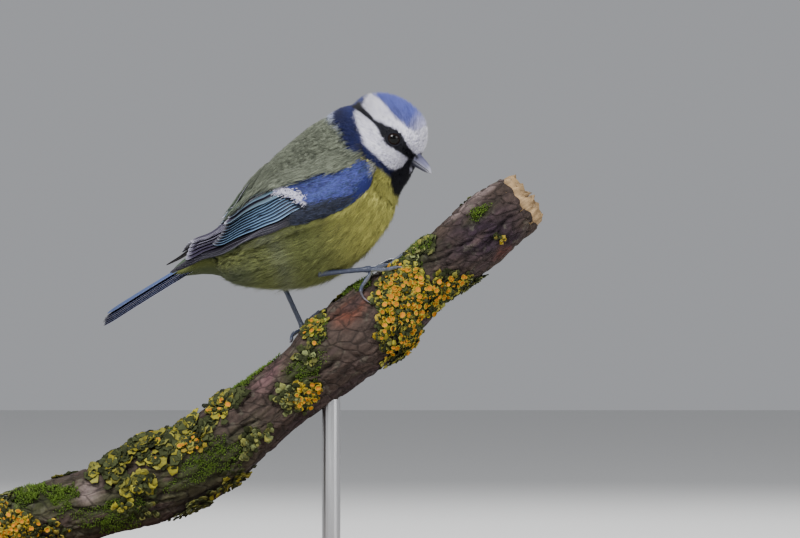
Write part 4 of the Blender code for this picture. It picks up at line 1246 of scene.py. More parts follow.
def bark_radius(place, turn, radius):
    """The bark's distance from the axis: a slow wander and a few swellings."""
    angle = radians(turn)
    radius *= 1.0 + 0.035 * sin(2 * angle + 0.9 * place) + 0.025 * sin(3 * angle - 1.7 * place)
    for at, around, height, reach, wide in BRANCH_KNOTS:
        off = (turn - around + 180.0) % 360.0 - 180.0
        radius += height * exp(-(((place - at) / reach) ** 2) - (off / wide) ** 2)
    return radius


def over_branch(point, clearance):
    """The point moved straight out from the branch's axis until it clears the bark."""
    places = np.linspace(0.0, 15.0, 301)
    gaps = [np.linalg.norm(point - branch_frame(place)[0]) for place in places]
    best = places[int(np.argmin(gaps))]
    centre, _, up, right, radius = branch_frame(best)
    out = point - centre
    turn = degrees(atan2(out @ right, out @ up))
    need = bark_radius(best, turn, radius) + clearance
    far = np.linalg.norm(out)
    return point if far >= need else centre + out / far * need


class TIT_OT_feet(bpy.types.Operator):
    """Make the bare legs, the toes with their scales and pads, and the claws"""

    bl_idname = "blue_tit.feet"
    bl_label = "Legs and feet"

    def execute(self, context):
        face = context.scene.tit_face
        scaled = painted("leg scales", leg_material)
        horn = painted("claw horn", horn_material)
        skin, pale = np.array(face.leg), np.array(face.leg_pale)
        for label, (joint, hip, toes) in FEET.items():
            self.tarsus(label, np.array(joint), np.array(hip), scaled, skin, pale)
            toe_form, claw_form = new_form(), new_form()
            for number, points in enumerate(toes):
                self.toe(toe_form, claw_form, points, number, skin, pale, np.array(face.claw))
            show(toe_form, f"toes_{label}", scaled, [f"foot_{label}"])
            show(claw_form, f"claws_{label}", horn)
        return {"FINISHED"}

    def tarsus(self, label, joint, hip, scaled, skin, pale):
        """The lower leg, with broad scales down its front."""
        away = (hip - joint) / np.linalg.norm(hip - joint)
        points = [joint - away * 0.2, joint + away * 1.0, joint + away * 2.2]
        points += [hip + (joint - hip) * share for share in (0.62, 0.35, 0.1)] + [hip + away * 1.0]
        swells = (1.25, 1.3, 1.02, 0.95, 0.97, 1.15, 1.35)

        def radius_of(share, angle):
            swell = smooth_rows(np.array(swells)[:, None], share * 6)[0]
            scale = (share * 9.0) % 1.0
            return TARSUS_RADIUS * swell * (1.0 + 0.08 * scale - 0.05 * (scale > 0.9))

        def tint_of(share, angle):
            scale = (share * 9.0) % 1.0
            # light makes the leg's upper side paler: painted light from above
            light = 0.5 + 0.5 * sin(angle)
            tone = skin + (pale - skin) * (0.3 * light + 0.35 * ramp(scale, 0.7, 1.0))
            return tone * (0.55 if scale > 0.93 else 1.0)

        bm = new_form()
        limb(bm, points, radius_of, tint_of, 18, 90)
        show(bm, f"tarsus_{label}", scaled, [f"leg_{label}"])

    def toe(self, toe_form, claw_form, points, number, skin, pale, claw_tint):
        """A toe with its joints and pads, and its hooked claw."""
        path = [smooth_rows(points, (len(points) - 1) * i / 24) for i in range(25)]
        start = int(25 * CLAW_START)
        path = [over_branch(point, (TOE_RADIUS if i <= start else 0.3) + 0.15) for i, point in enumerate(path)]
        joints = 2.0 if number == 0 else 3.0

        def radius_of(share, angle):
            pad = 0.5 + 0.5 * cos(tau * share * joints)
            under = max(0.0, -sin(angle))
            scale = (share * joints * 4.0) % 1.0
            radius = TOE_RADIUS * (1.0 - 0.16 * share) * (0.86 + 0.12 * pad + 0.2 * under * pad)
            end = sqrt(max(0.0, 1 - max(0.0, (share - 0.93) / 0.07) ** 2))
            return max(0.04, radius * (1.0 + 0.07 * scale * (1 - under)) * end)

        def tint_of(share, angle):
            scale = (share * joints * 4.0) % 1.0
            tone = skin + (pale - skin) * (0.25 + 0.4 * ramp(scale, 0.6, 1.0))
            yellow = np.array((0.35, 0.33, 0.2))
            tone = tone + (yellow - tone) * 0.5 * max(0.0, -sin(angle))
            return tone * (0.5 if scale > 0.9 else 1.0)

        limb(toe_form, path[: start + 2], radius_of, tint_of, 14, 84)

        def claw_radius(share, angle):
            return max(0.03, CLAW_RADIUS * (1 - share) ** 0.75 * (1.0 + 0.12 * sin(angle)))

        def claw_tone(share, angle):
            return claw_tint * (1.0 + 1.6 * share)

        limb(claw_form, path[start - 1 :], claw_radius, claw_tone, 10, 24)


# Groups of the folded wing's feathers: count, path of the lowest and of the highest feather from
# root to tip, each point a place and a turn, then half width, lift at root and tip, tilt
WING_GROUPS = {
    "primary": (
        8, ((6.58, 80), (5.13, 70.5), (3.67, 52.8), (2.07, 58.2), (0.5, 66)),
        ((6.65, 73), (5.57, 67.2), (4.48, 56), (3.4, 42.8), (2.22, 50.2)), 1.6, (0.9, 1.2), 0.24
    ),
    "inner": (
        5, ((6.4, 66), (5, 52), (3.7, 38), (2.6, 36), (1.3, 52)),
        ((6.1, 52), (4.9, 36), (3.8, 18), (2.9, 6), (1.9, 8)), 1.9, (0.9, 1.5), 0.15
    ),
    "secondary": (
        8, ((6.62, 70.2), (5.65, 65.5), (4.68, 56), (3.73, 43.2), (2.73, 39.5)),
        ((5.9, 52), (5.3, 45), (4.68, 36), (4.13, 24.5), (3.62, 17.5)), 1.9, (1.4, 1.9), 0.24
    ),
    "tertial": (
        3, ((6.1, 54), (5.42, 46), (4.75, 36), (4.12, 25), (3.5, 18.5)),
        ((5.9, 42), (5.35, 34), (4.85, 25), (4.4, 16), (3.95, 9)), 1.9, (1.9, 2.6), 0.2
    ),
    "primary_covert": (
        6, ((7.8, 88.5), (7.18, 84.8), (6.6, 81.2)), ((7.75, 82.8), (7.17, 79.2), (6.6, 75.5)), 1.1, (0.9, 1.2), 0.2
    ),
    "greater_covert": (
        10, ((8.27, 81.5), (7.57, 78.8), (6.8, 75.5)), ((7.2, 55.2), (6.52, 53.2), (5.75, 47)), 1.45, (1.4, 2.2),
        0.2
    ),
    "alula": (
        3, ((8.73, 94.6), (8.07, 91), (7.4, 86.6)), ((8.8, 90), (8.17, 86.2), (7.52, 82)), 1.1, (0.9, 1.3), 0.15
    )
}
# Edges of the folded wing and of what covers it, as rows of places and of turns
WING_LOW = (
    (0.45, 1.47, 2.67, 3.75, 4.78, 5.78, 6.78, 7.77, 8.73, 9.7),
    (77, 73.5, 58.8, 60.5, 71.8, 79.8, 85, 91.5, 96.2, 94)
)
WING_HIGH = ((5.87, 6.42, 7, 7.6, 8.22, 8.82, 9.4, 9.83), (48, 54, 57, 59, 62.5, 67.5, 75, 86))
# The white bar: its rear edge's turns and places
WHITE_BAR = ((46, 56, 63.5, 70.8, 77.8), (5.72, 6.13, 6.5, 6.75, 6.98))
# Where the dark lower feathers begin
SLATE_TOP = ((6.7, 7, 7.5, 8, 8.4, 8.9, 9.3), (72, 75, 78, 81.5, 86, 91, 97))
# Where the back's feathers end over the wing
MANTLE_EDGE = ((4.3, 5.1, 5.7, 6.36, 7.62, 8.08, 8.84, 9.62), (14, 30, 41, 52, 60, 63, 70, 79))
VANE_ACROSS = (-1, -0.96, -0.91, -0.85, -0.77, -0.66, -0.5, -0.3, -0.16, -0.1, -0.04, 0.3, 0.7, 0.93, 1)


def vane_width(share, half_width, tip_round):
    """Half width of a vane along its length: narrow at the root, rounded at the tip."""
    base = 0.5 + 0.5 * min(1, share / 0.3)
    end = max(0, (share - (1 - tip_round)) / tip_round)
    return max(0.05, half_width * base * sqrt(max(0, 1 - end**2.2)))


def vane(bm, line, acrosses, ups, widths, tint_of, seed, camber=0.18, thick=0.12, torn=1):
    """A feather's vane with its shaft, arched across and a little ragged along its edges."""
    rows = len(line) - 1
    count = len(VANE_ACROSS)
    columns = 2 * count
    lengths = np.concatenate(((0,), np.cumsum(np.linalg.norm(np.diff(line, axis=0), axis=1))))

    def where(column):
        column = column % columns
        top = column < count
        return top, VANE_ACROSS[column if top else columns - 1 - column]

    def place_of(column, row):
        top, a = where(column)
        edge = abs(a) ** 6
        ragged = noise.noise(Vector((seed * 3.1, lengths[row] * 1.9, 2 if a > 0 else 5)))
        split = max(0, noise.noise(Vector((seed * 1.7, lengths[row] * 0.9, 8 if a > 0 else 11))) - 0.45)
        width = widths[row] * (1 - edge * torn * (0.05 + 0.06 * ragged + 0.5 * split))
        shaft = 0.07 * exp(-(((a + 0.1) / 0.06) ** 2))
        rise = camber * widths[row] * (1 - a * a) + shaft
        under = 0 if top else -thick * (1 - 0.5 * abs(a)) - shaft
        return line[row] + acrosses[row] * (a * width) + ups[row] * (rise + under)

    wrap(
        bm, columns, rows, place_of, lambda column, row: tint_of(where(column)[1], lengths[row] / lengths[-1]),
        lambda column, row: (where(column)[1] * widths[row] * MM, lengths[row] * MM, 0)
    )


def wing_line(side, path, half_width, lifts, tilt, rows, tip_round):
    """Where a wing feather lies: its middle line, across and up directions and half widths."""
    line, acrosses, ups, widths = [], [], [], []
    for i in range(rows + 1):
        share = 1 - (1 - i / rows) ** 1.5
        place, turn = smooth_rows(path, (len(path) - 1) * share)
        lift = lifts[0] + (lifts[1] - lifts[0]) * share
        width = vane_width(share, half_width, tip_round)
        _, _, _, depth, breadth = body_ring(place)
        c, s = cos(radians(turn)), sin(radians(turn))
        radius = hypot(depth * c, breadth * s)
        step = degrees(width / (radius + lift))
        low = body_point(place, (turn + step) * side, lift + tilt * width)
        high = body_point(place, (turn - step) * side, lift - tilt * width)
        across = (high - low) / np.linalg.norm(high - low)
        along = body_point(place - 0.05, turn * side, lift) - body_point(place + 0.05, turn * side, lift)
        up = np.cross(along, across) * side
        line.append((low + high) / 2)
        widths.append(np.linalg.norm(high - low) / 2)
        ups.append(up / np.linalg.norm(up))
        acrosses.append(across)
    return np.array(line), np.array(acrosses), np.array(ups), np.array(widths)


def wing_top(places, share):
    """Height of the folded wing's small feathers over the body: share is 0 at the lower edge."""
    full = np.interp(places, (5.7, 6.4, 7.1, 7.9, 8.7, 9.3, 9.9), (2.5, 2.45, 2.45, 2.5, 2.4, 2, 1))
    return 0.45 + (full - 0.45) * np.sin(pi * (0.03 + 0.9 * np.clip(share, 0, 1))) ** 0.55


class WingTints:
    """Colours of the wing's larger feathers, by group, place across and place along."""

    def __init__(self, colours):
        self.blue = np.array(colours.coverts)
        self.edge = np.array(colours.edge_blue)
        self.web = np.array(colours.web_blue)
        self.dark = np.array(colours.web_dark)
        self.green = np.array(colours.web_green)
        self.white = np.array(colours.white)

    def of(self, group, order, number):
        """A function of the place across, -1 at the outer edge, and the share along."""
        vary = 0.9 + 0.2 * noise.noise(Vector((number * 2.3, len(group), 0.5)))

        def shaft(a, tone):
            return tone + (self.dark * 0.6 - tone) * exp(-(((a + 0.1) / 0.05) ** 2))

        def primary(a, s):
            tone = self.dark * 0.7
            rim = ramp(-a, 0.93, 0.98) * ramp(s, 0.1, 0.3) * (0.8 - 0.3 * ramp(s, 0.5, 0.9))
            return shaft(
                a, tone + (self.white * 0.4 - tone) * rim * (order > 0.1) * (0.3 + 0.7 * (number % 2))
            ) * vary

        def secondary(a, s):
            tone = self.dark * 0.7
            teal = self.web * (1.1 - 0.35 * s)
            tone = tone + (teal - tone) * ramp(-a, 0.6, 0.74)
            line = ramp(-a, 0.86, 0.93) * (1 - 0.3 * s)
            tone = tone + (self.edge - tone) * line
            tip = ramp(s, 0.95, 1)
            return shaft(a, tone + (self.white * 0.8 - tone) * tip * 0.15) * vary

        def tertial(a, s):
            outer = self.green + (self.edge * 0.5 - self.green) * ramp(-a, 0.3, 0.8) * 0.8
            tone = outer if a < -0.1 and group == "tertial" else self.dark * 2.4
            rim = float(ramp(s, 0.95, 0.99)) * 0.7 + 0.7 * ramp(a, 0.85, 0.97) + 0.2 * ramp(-a, 0.93, 1)
            rim = min(1, rim) * (1 if group == "tertial" else 0.4)
            return shaft(a, tone + (self.white * 0.8 - tone) * rim) * vary

        def covert(a, s):
            tone = self.blue + (self.web * 0.8 - self.blue) * ramp(a, -0.3, 0.4) * 0.7
            tone = tone if order > 0.3 else self.dark * 1.5 + self.web * 0.3
            tip = ramp(s + 0.04 * cos(a * 2.5), 0.93, 0.97) * (order > 0.12)
            return shaft(a, tone) * vary * (1 - tip) + self.white * (0.8 * tip)

        def slate(a, s):
            tone = self.dark * 1.5 + (self.web * 0.6 - self.dark * 1.5) * ramp(-a, 0.35, 0.8)
            tip = 0.6 * ramp(s, 0.9, 1) * (number == 2)
            return shaft(a, tone + (self.white - tone) * tip) * vary

        kinds = {"primary": primary, "secondary": secondary, "tertial": tertial, "greater_covert": covert}
        kinds.update({"primary_covert": slate, "alula": slate, "inner": tertial})
        return kinds[group]


class TIT_OT_wings(bpy.types.Operator):
    """Make the folded wings: flight feathers, rows of coverts and the small feathers of the arm"""

    bl_idname = "blue_tit.wings"
    bl_label = "Wings"

    def execute(self, context):
        colours = context.scene.tit_colours
        tints = WingTints(colours)
        flat = painted("wing feathers", vane_material)
        for label, side in (("right", 1), ("left", -1)):
            bm = new_form()
            seed = 10 * side
            for group, (count, lowest, highest, width, lifts, tilt) in WING_GROUPS.items():
                long = len(lowest) > 3
                for i in range(count):
                    share = i / (count - 1)
                    path = np.array(lowest, float) + (np.array(highest) - np.array(lowest)) * share
                    rows = 26 if long else 14
                    tip_round = 0.2 if long else 0.55
                    line, acrosses, ups, widths = wing_line(side, path, width, lifts, tilt, rows, tip_round)
                    seed += 1
                    vane(bm, line, acrosses, ups, widths, tints.of(group, share, i + side), seed)
            show(bm, f"wing_feathers_{label}", flat, [f"wing_{label}"])
            self.arm(context, label, side)
        return {"FINISHED"}

    def arm(self, context, label, side):
        """The arm's pad, and the small feathers over it and over the wing's edges."""
        colours, sizes = context.scene.tit_colours, context.scene.tit_sizes
        blue, white = np.array(colours.coverts), np.array(colours.white)
        slate = (np.array(colours.web_dark) * 3 + np.array(colours.web_blue) * 0.8) * 0.3
        chart = BodyChart()
        pad = make_pad(side)
        place, _, _ = chart.read(mesh_arrays(pad)[0])
        # The pad takes the coverts' blue at 0.4 and the slate at 0.5: painted shade under the small feathers that
        # cover it
        paint_points(pad, blend(np.tile(blue * 0.4, (len(place), 1)), slate * 0.5, ramp(place, 7.5, 7)))
        show(pad, f"arm_{label}", painted("downy skin", skin_material))
        rng = np.random.default_rng(sizes.seed + 20 + side)
        locks = Locks(BARB_FACES)

        def lay(places, turns, slope, length, lifts, tints, wide, strands):
            spots = np.stack((0.5 + side * turns / 370, (places + 1.5) / 15), axis=1)
            laid(rng, locks, chart, places, side * turns, slope, length, lifts, tints, wide, strands, spots)

        # Blue coverts, dark at the lower edge, yellow-green at the shoulder
        count = sizes.covert_tufts
        places = rng.uniform(5.9, 9.95, count * 2)
        high = np.interp(places, *WING_HIGH)
        low = np.interp(places, *WING_LOW)
        turns = high + (low - high) * rng.random(count * 2)
        bar = np.interp(turns, *WHITE_BAR)
        kept = (places > bar + 0.34) | ((turns > 76.5) & (places > 6.3))
        places, turns, bar, high, low = (values[kept][:count] for values in (places, turns, bar, high, low))
        share = np.clip((low - turns) / (low - high), 0, 1)
        top = wing_top(places, share)
        length = 2.4 + 1 * rng.random(len(places)) - 0.8 * ramp(places, 9, 9.8)
        tone = (0.3 + 1.1 * rng.random(len(places)))[:, None]
        tints = blue * tone + 0.02 * rng.random((len(places), 1))
        teal = (rng.random(len(places)) < 0.25)[:, None]
        tints = np.where(teal, tints * 0.4 + np.array(colours.web_blue) * 0.5, tints)
        lower = ramp(
            turns + 2 * rng.random(len(turns)), np.interp(places, *SLATE_TOP) - 1, np.interp(places, *SLATE_TOP) + 2
        )
        tints = blend(tints, slate * tone, lower)
        rim = ramp(places + 0.2 * rng.random(len(places)), 9.75, 9.95) * 0.4
        tints = blend(tints, np.array(colours.breast) * tone, rim)
        lay(places, turns, 7.5, length, (top - 0.35, top + 0.1, top + 0.12), tints, 0.17, 5)
        # White tips of the greater coverts
        count = 220
        turns = rng.uniform(46.5, 76.5, count)
        places = np.interp(turns, *WHITE_BAR) + 0.06 + 0.06 * rng.random(count)
        share = np.clip((80 - turns) / 34, 0, 1)
        top = wing_top(places, share)
        tints = white * (0.75 + 0.25 * rng.random((count, 1)))
        lay(places, turns, 7.5, np.full(count, 0.85), (top + 0.05, top + 0.3, top + 0.2), tints, 0.17, 3)
        # Feathers of the back that fall over the wing's upper edge
        count = 950
        places = rng.uniform(4.3, 9.9, count)
        edge = np.interp(places, *MANTLE_EDGE)
        back = rng.random(count) ** 0.8
        turns = edge - 1 - 15 * back * ramp(places, 3.6, 6)
        length = 3.6 + 1.6 * rng.random(count)
        cover = 2.9 * (1 - back) ** 0.7 * ramp(places, 10.2, 8.8)
        points, _ = chart.points(places - 0.3, side * turns, 0)
        ragged = rng.normal(0, 0.5, count)
        tints = plumage_tint(points, chart, ragged) * (0.72 + 0.45 * rng.random((count, 1)))
        lay(places, turns, 6, length, (cover - 0.5, cover + 0.25, cover + 0.1), tints, 0.15, 6)
        # Feathers of the flank that lap over the wing's lower edge, darkened as painted shade along that edge
        count = 440
        places = rng.uniform(4.4, 9.9, count)
        turns = np.interp(places, *WING_LOW) + 0.5 + 5 * rng.random(count)
        points, _ = chart.points(places, side * (turns + 8), 0)
        tints = plumage_tint(points, chart) * (0.4 + 0.55 * rng.random((count, 1)))
        swell = 0.55 * ramp(places, 8.6, 6.5) + 0.15
        length = 3.4 + 1.4 * rng.random(count)
        lay(places, turns, 7.5, length, (-0.6 + 0 * swell, swell, swell + 0.15), tints, 0.15, 5)
        coat = painted("small feathers", feather_material)
        show(locks, f"coat_arm_{label}", coat)


TAIL_LENGTH = 31.6
TAIL_SLOPE = 29.8
TAIL_ROLL = 9
TAIL_PAIRS = 6


def tail_line(pair, side, rows):
    """Where a tail feather lies. Pair 0 is the central pair, on top."""
    centre = body_ring(1.9)[0]
    slope, roll = radians(TAIL_SLOPE), radians(TAIL_ROLL)
    along = np.array((-cos(slope), 0, -sin(slope)))
    up = np.array((-sin(slope), 0, cos(slope)))
    across = np.array((0, -1, 0))
    up, across = (up * cos(roll) + across * sin(roll), across * cos(roll) - up * sin(roll))
    length = TAIL_LENGTH - 0.35 * (TAIL_PAIRS - pair) + (0.6 if pair > 1 else 0)
    out_root, out_tip = 0.35 + 0.42 * pair, 0.6 + 0.62 * pair
    drop = 0.34 * pair + (0.25 if pair else 0) + (0.13 if side < 0 else 0)
    lean = across * side - up * (0.11 if pair else 0.03)
    lean /= np.linalg.norm(lean)
    rise = np.cross(along, lean) * -side
    line, widths = [], []
    for i in range(rows + 1):
        share = 1 - (1 - i / rows) ** 1.5
        out = out_root + (out_tip - out_root) * share
        fall = 0.8 * share**2
        line.append(centre + along * (length * share) + across * (out * side) + up * (1.8 - drop - fall))
        widths.append(vane_width(share, 1.75 if pair else 2.35, 0.16) * (0.75 + 0.25 * share))
    return np.array(line), np.tile(lean, (rows + 1, 1)), np.tile(rise, (rows + 1, 1)), np.array(widths)


class TIT_OT_tail(bpy.types.Operator):
    """Make the twelve tail feathers and the root of the tail"""

    bl_idname = "blue_tit.tail"
    bl_label = "Tail"

    def execute(self, context):
        colours = context.scene.tit_colours
        blue, dark = np.array(colours.tail), np.array(colours.web_dark)
        white = np.array(colours.white)
        bm = new_form()
        for pair in range(TAIL_PAIRS):
            for side in (1, -1):
                line, acrosses, ups, widths = tail_line(pair, side, 30)

                def tint_of(a, s, pair=pair):
                    tone = blue if pair == 0 else dark * 1.2
                    tone = tone + (blue * 1.1 - tone) * ramp(-a, 0.76, 0.9) * 0.7
                    line = ramp(-a, 0.92, 0.97) * (0.9 if pair in (2, 5) else 0.4)
                    tone = (tone + (white * 0.55 - tone) * line) * (1.15 - 0.45 * s)
                    return tone + (dark - tone) * exp(-(((a + 0.1) / 0.05) ** 2)) * 0.8

                vane(bm, line, -acrosses, ups, widths, tint_of, 50 + pair * 2 + side, 0.02, 0.05, 0.1)
        flat = painted("wing feathers", vane_material)
        show(bm, "tail_feathers", flat, ["tail"])
        self.root(context)
        return {"FINISHED"}

    def root(self, context):
        """The fleshy root of the tail under its coverts."""
        chart = BodyChart()
        bm = new_form()
        places = (0.55, 0.8, 1.2, 1.6, 2, 2.4, 2.9)

        def place_of(column, row):
            shrink = (0.3, 0.55, 0.7, 0.72, 0.74, 0.76, 0.7)[row]
            centre, back, right, depth, width = body_ring(places[row])
            angle = tau * column / 24
            return centre + back * (depth * shrink * cos(angle)) + right * (width * shrink * 0.9 * sin(angle))

        wrap(bm, 24, len(places) - 1, place_of)
        mesh = to_mesh(bm, "tail_root")
        points, _, _ = mesh_arrays(mesh)
        # The tail's root takes the plumage's tint at 0.55: painted shade under the tail's coverts
        paint_points(mesh, plumage_tint(points, chart) * 0.55)
        show(mesh, "tail_root", painted("downy skin", skin_material))


def bark_material(name):
    """Rough bark: the tint of each patch, with fine furrows, pale crust and cracks darkened as painted shade."""
    paint = Paint(name, roughness=0.85, specular=0.2)
    fine = paint.noise(1300, 6, roughness=0.65)
    coarse = paint.noise(330, 4)
    lengthwise = paint.stretched((0.45, 1, 0.8), rotation=(0, 0.6, 0))
    furrow = paint.add("TexVoronoi", {"feature": "DISTANCE_TO_EDGE"}, {"Scale": 420, "Vector": lengthwise})
    tint = paint.grained(0.85, fine, (0.2, 0.18, 0.17), (1.9, 1.9, 1.85))
    tint = paint.mix(coarse.above(0.58, 0.1) * 0.3, tint, (0.12, 0.115, 0.085))
    # The furrows' edges are darkened nearly to black: painted shade in the cracks
    tint = paint.mix((1 - furrow.above(0, 0.09)) * 0.6, tint, (0.012, 0.009, 0.008))
    height = fine * 0.6 + coarse * 0.3 + furrow.above(0, 0.12) * 0.4
    gloss = 0.75 + fine * 0.2
    return paint.set(Base_Color=tint, Roughness=gloss, Normal=paint.bump(height, 0.0006, 0.9))


def splinter_material(name):
    """Torn pale wood with its grain."""
    paint = Paint(name, roughness=0.8, specular=0.2)
    grain = paint.noise(700, 5, paint.stretched((0.12, 1, 1), rotation=(0, 0.65, 0)))
    tint = paint.grained(0.8, grain, (0.3, 0.28, 0.26), (1.7, 1.7, 1.6))
    return paint.set(Base_Color=tint, Normal=paint.bump(grain, 0.0005, 0.9))


def lichen_material(name):
    """Dry crusty lobes with a mealy surface."""
    paint = Paint(name, roughness=0.88, specular=0.15)
    meal = paint.noise(2400, 5, roughness=0.7)
    blotch = paint.noise(420, 3)
    tint = paint.grained(0.7, meal, (0.4, 0.4, 0.38), 1.6)
    tint = paint.mix(0.5, tint, paint.mix(blotch, 0.5, 1.45), "MULTIPLY")
    return paint.set(Base_Color=tint, Normal=paint.bump(meal, 0.00025, 0.8))


def base_wood_material(name):
    """Oiled wood of the stand's base."""
    paint = Paint(name, roughness=0.45, specular=0.4)
    bands = paint.add(
        "TexNoise", None, {"Vector": paint.stretched((6, 90, 60)), "Scale": 4, "Detail": 6, "Distortion": 1.4}
    )
    pores = paint.noise(900, 4, paint.stretched((0.06, 1, 1)))
    tone = paint.add(
        "ValToRGB",
        {"stops": ((0.25, (0.105, 0.055, 0.028)), (0.5, (0.205, 0.118, 0.06)), (0.75, (0.29, 0.18, 0.1)))},
        {"Fac": bands}
    )
    tone = paint.mix(pores.above(0.6, 0.1) * 0.5, tone, (0.06, 0.032, 0.018))
    gloss = 0.36 + pores * 0.2
    return paint.set(Base_Color=tone, Roughness=gloss, Normal=paint.bump(pores, 0.0001, 0.4))


def rod_steel_material(name):
    """Brushed steel of the rods."""
    paint = Paint(name, roughness=0.3)
    paint.set(Metallic=1)
    lines = paint.noise(900, 3, paint.stretched((1, 1, 0.04)))
    tone = paint.mix(lines, (0.34, 0.34, 0.35), (0.62, 0.62, 0.63))
    return paint.set(Base_Color=tone, Roughness=0.24 + lines * 0.18, Normal=paint.bump(lines, 0.00002, 0.3))


# Patches of the bark's colour: place, turn, reach along in rings, reach around in degrees, colour
BARK_PATCHES = (
    (1.2, 40, 1, 60, "moss_bark"), (2.3, 62, 0.7, 35, "moss_bark"), (2.9, 67, 0.35, 25, "grey_bark"),
    (3.4, 115, 1.3, 45, "moss_bark"), (5.4, 110, 1.4, 50, "moss_bark"), (7.7, 49, 0.45, 25, "pink_bark"),
    (8.2, 73, 0.6, 30, "moss_bark"), (9.8, 52, 0.5, 18, "red_bark"), (12.1, 41, 0.6, 35, "moss_bark"),
    (13.6, 98, 1.1, 60, "dark_bark"), (13.5, 32, 0.45, 12, "grey_bark"), (14.3, 28, 0.4, 12, "grey_bark"),
    (13.95, 63, 0.5, 10, "moss_bark"), (13.85, 159, 0.35, 22, "red_bark"), (14.2, 145, 0.4, 25, "dark_bark"),
    (4, 205, 3, 60, "dark_bark"), (9.5, 205, 3, 60, "dark_bark")
)
# Deep cracks that run along the bark: place, turn, reach along in rings, drift in degrees, depth
BARK_CRACKS = (
    (9.55, 44, 0.5, 12, 1.2), (9.6, 0, 0.5, -10, 1), (8.4, 93, 0.7, 16, 1.3), (7.6, 70, 0.6, -12, 0.9),
    (6.6, 90, 0.7, 14, 0.9), (6, 125, 0.7, -10, 0.8), (13.1, 86, 0.9, 18, 0.9), (13.9, 112, 0.8, -12, 0.9),
    (14.2, 52, 0.6, 8, 0.7), (12.3, 78, 0.6, 12, 0.8), (4.5, 118, 0.8, 12, 0.7), (2.9, 95, 0.7, 18, 0.8),
    (1.9, 50, 0.5, -8, 0.7), (10.4, 140, 0.6, -18, 0.8), (9, 250, 1.5, 20, 0.9), (5, 265, 1.5, -20, 0.9),
    (12, 240, 1.3, 25, 0.9)
)
# Patches of lichen: place, turn, reach along and around in millimetres, number of lobes, size, colours
LICHEN_PATCHES = (
    (1, 78, 7, 7, 230, 1.5, "orange"), (1.5, 112, 8, 6, 230, 1.5, "orange"), (0.5, 150, 6, 6, 120, 1.8, "yellow"),
    (1.2, 18, 5, 5, 70, 1.6, "green"), (4.55, 22, 10, 8.5, 300, 3, "yellow"), (3.6, 34, 7, 6, 130, 2.6, "yellow"),
    (5.6, 34, 7, 6, 150, 2.6, "yellow"), (4.1, 82, 5.5, 3.2, 65, 2.4, "yellow"),
    (5.5, 60, 4.5, 3.2, 60, 2.1, "orange"), (6.55, 30, 6, 5.5, 120, 2.2, "yellow"),
    (6.6, 115, 5, 3.5, 60, 2, "green"), (3.55, 108, 3.2, 2.4, 26, 1.8, "yellow"),
    (4, 128, 3.4, 2.4, 30, 1.8, "green"), (4.9, 168, 7, 3.5, 80, 1.9, "green"),
    (5.8, 158, 6, 3.5, 70, 1.9, "yellow"), (7.95, 116, 5, 4.4, 110, 1.8, "orange"),
    (7.7, 94, 5, 3.6, 70, 2, "green"), (8.95, 33, 4.5, 5, 100, 1.9, "yellow"),
    (8.5, 60, 3.5, 3.2, 44, 1.8, "green"), (11.1, 100, 13, 9.5, 620, 1.5, "orange"),
    (11.25, 60, 10, 6, 220, 1.9, "yellow"), (10.5, 128, 9, 6, 220, 1.8, "yellow"),
    (10.2, 160, 9, 4.5, 170, 1.8, "yellow"), (12.1, 134, 8, 5, 200, 1.8, "yellow"),
    (12.1, 36, 5.5, 4.5, 100, 1.8, "green"), (12.5, 178, 7, 4, 90, 1.9, "green"),
    (13.9, 120, 1.7, 1.6, 16, 1.4, "orange"), (2.4, 300, 10, 8, 190, 2.4, "yellow"),
    (5.6, 290, 9, 7, 160, 2.2, "green"), (9.8, 300, 10, 8, 220, 2.1, "yellow"), (12.2, 285, 7, 6, 110, 2, "orange"),
    (13.8, 330, 3, 4, 40, 1.5, "green")
)
# Patches of cups: place, turn, reach along and around in millimetres, number, size
CUP_PATCHES = (
    (1.1, 92, 7.5, 8.5, 60, 0.8), (4.5, 24, 8, 6, 18, 0.75), (5.5, 58, 3, 2.6, 12, 0.75),
    (6.5, 30, 4.6, 4, 18, 0.75), (7.95, 116, 4, 3.6, 30, 0.8), (8.9, 34, 4, 4, 14, 0.75),
    (11.1, 102, 12, 8.5, 110, 0.8), (11.3, 62, 8, 5, 50, 0.75), (10.4, 148, 9, 5, 60, 0.75),
    (12.1, 134, 7, 4, 30, 0.75), (9.8, 300, 9, 7, 50, 0.8), (2.4, 300, 8, 6, 30, 0.75)
)
# Patches of moss: place, turn, reach along and around in millimetres, number of strands, length
MOSS_PATCHES = (
    (1.6, 30, 6, 5, 700, 1.4), (2.3, 58, 5, 5, 700, 1.2), (3.3, 115, 12, 6, 1300, 0.8),
    (5.6, 100, 12, 6, 1300, 0.8), (8.3, 80, 6, 5, 500, 0.8), (11.1, 105, 13, 9, 900, 1.5), (5.2, 4, 7, 4, 500, 1.2),
    (7.4, 5, 7, 4, 500, 1.1), (8.95, 40, 4, 4, 500, 1.3), (10.4, 12, 6, 4, 500, 1.2), (12.1, 30, 6, 4.5, 900, 1.3),
    (13.9, 60, 5, 1.6, 260, 0.9), (7, 340, 9, 6, 700, 1.2), (12, 325, 7, 5, 600, 1.2)
)


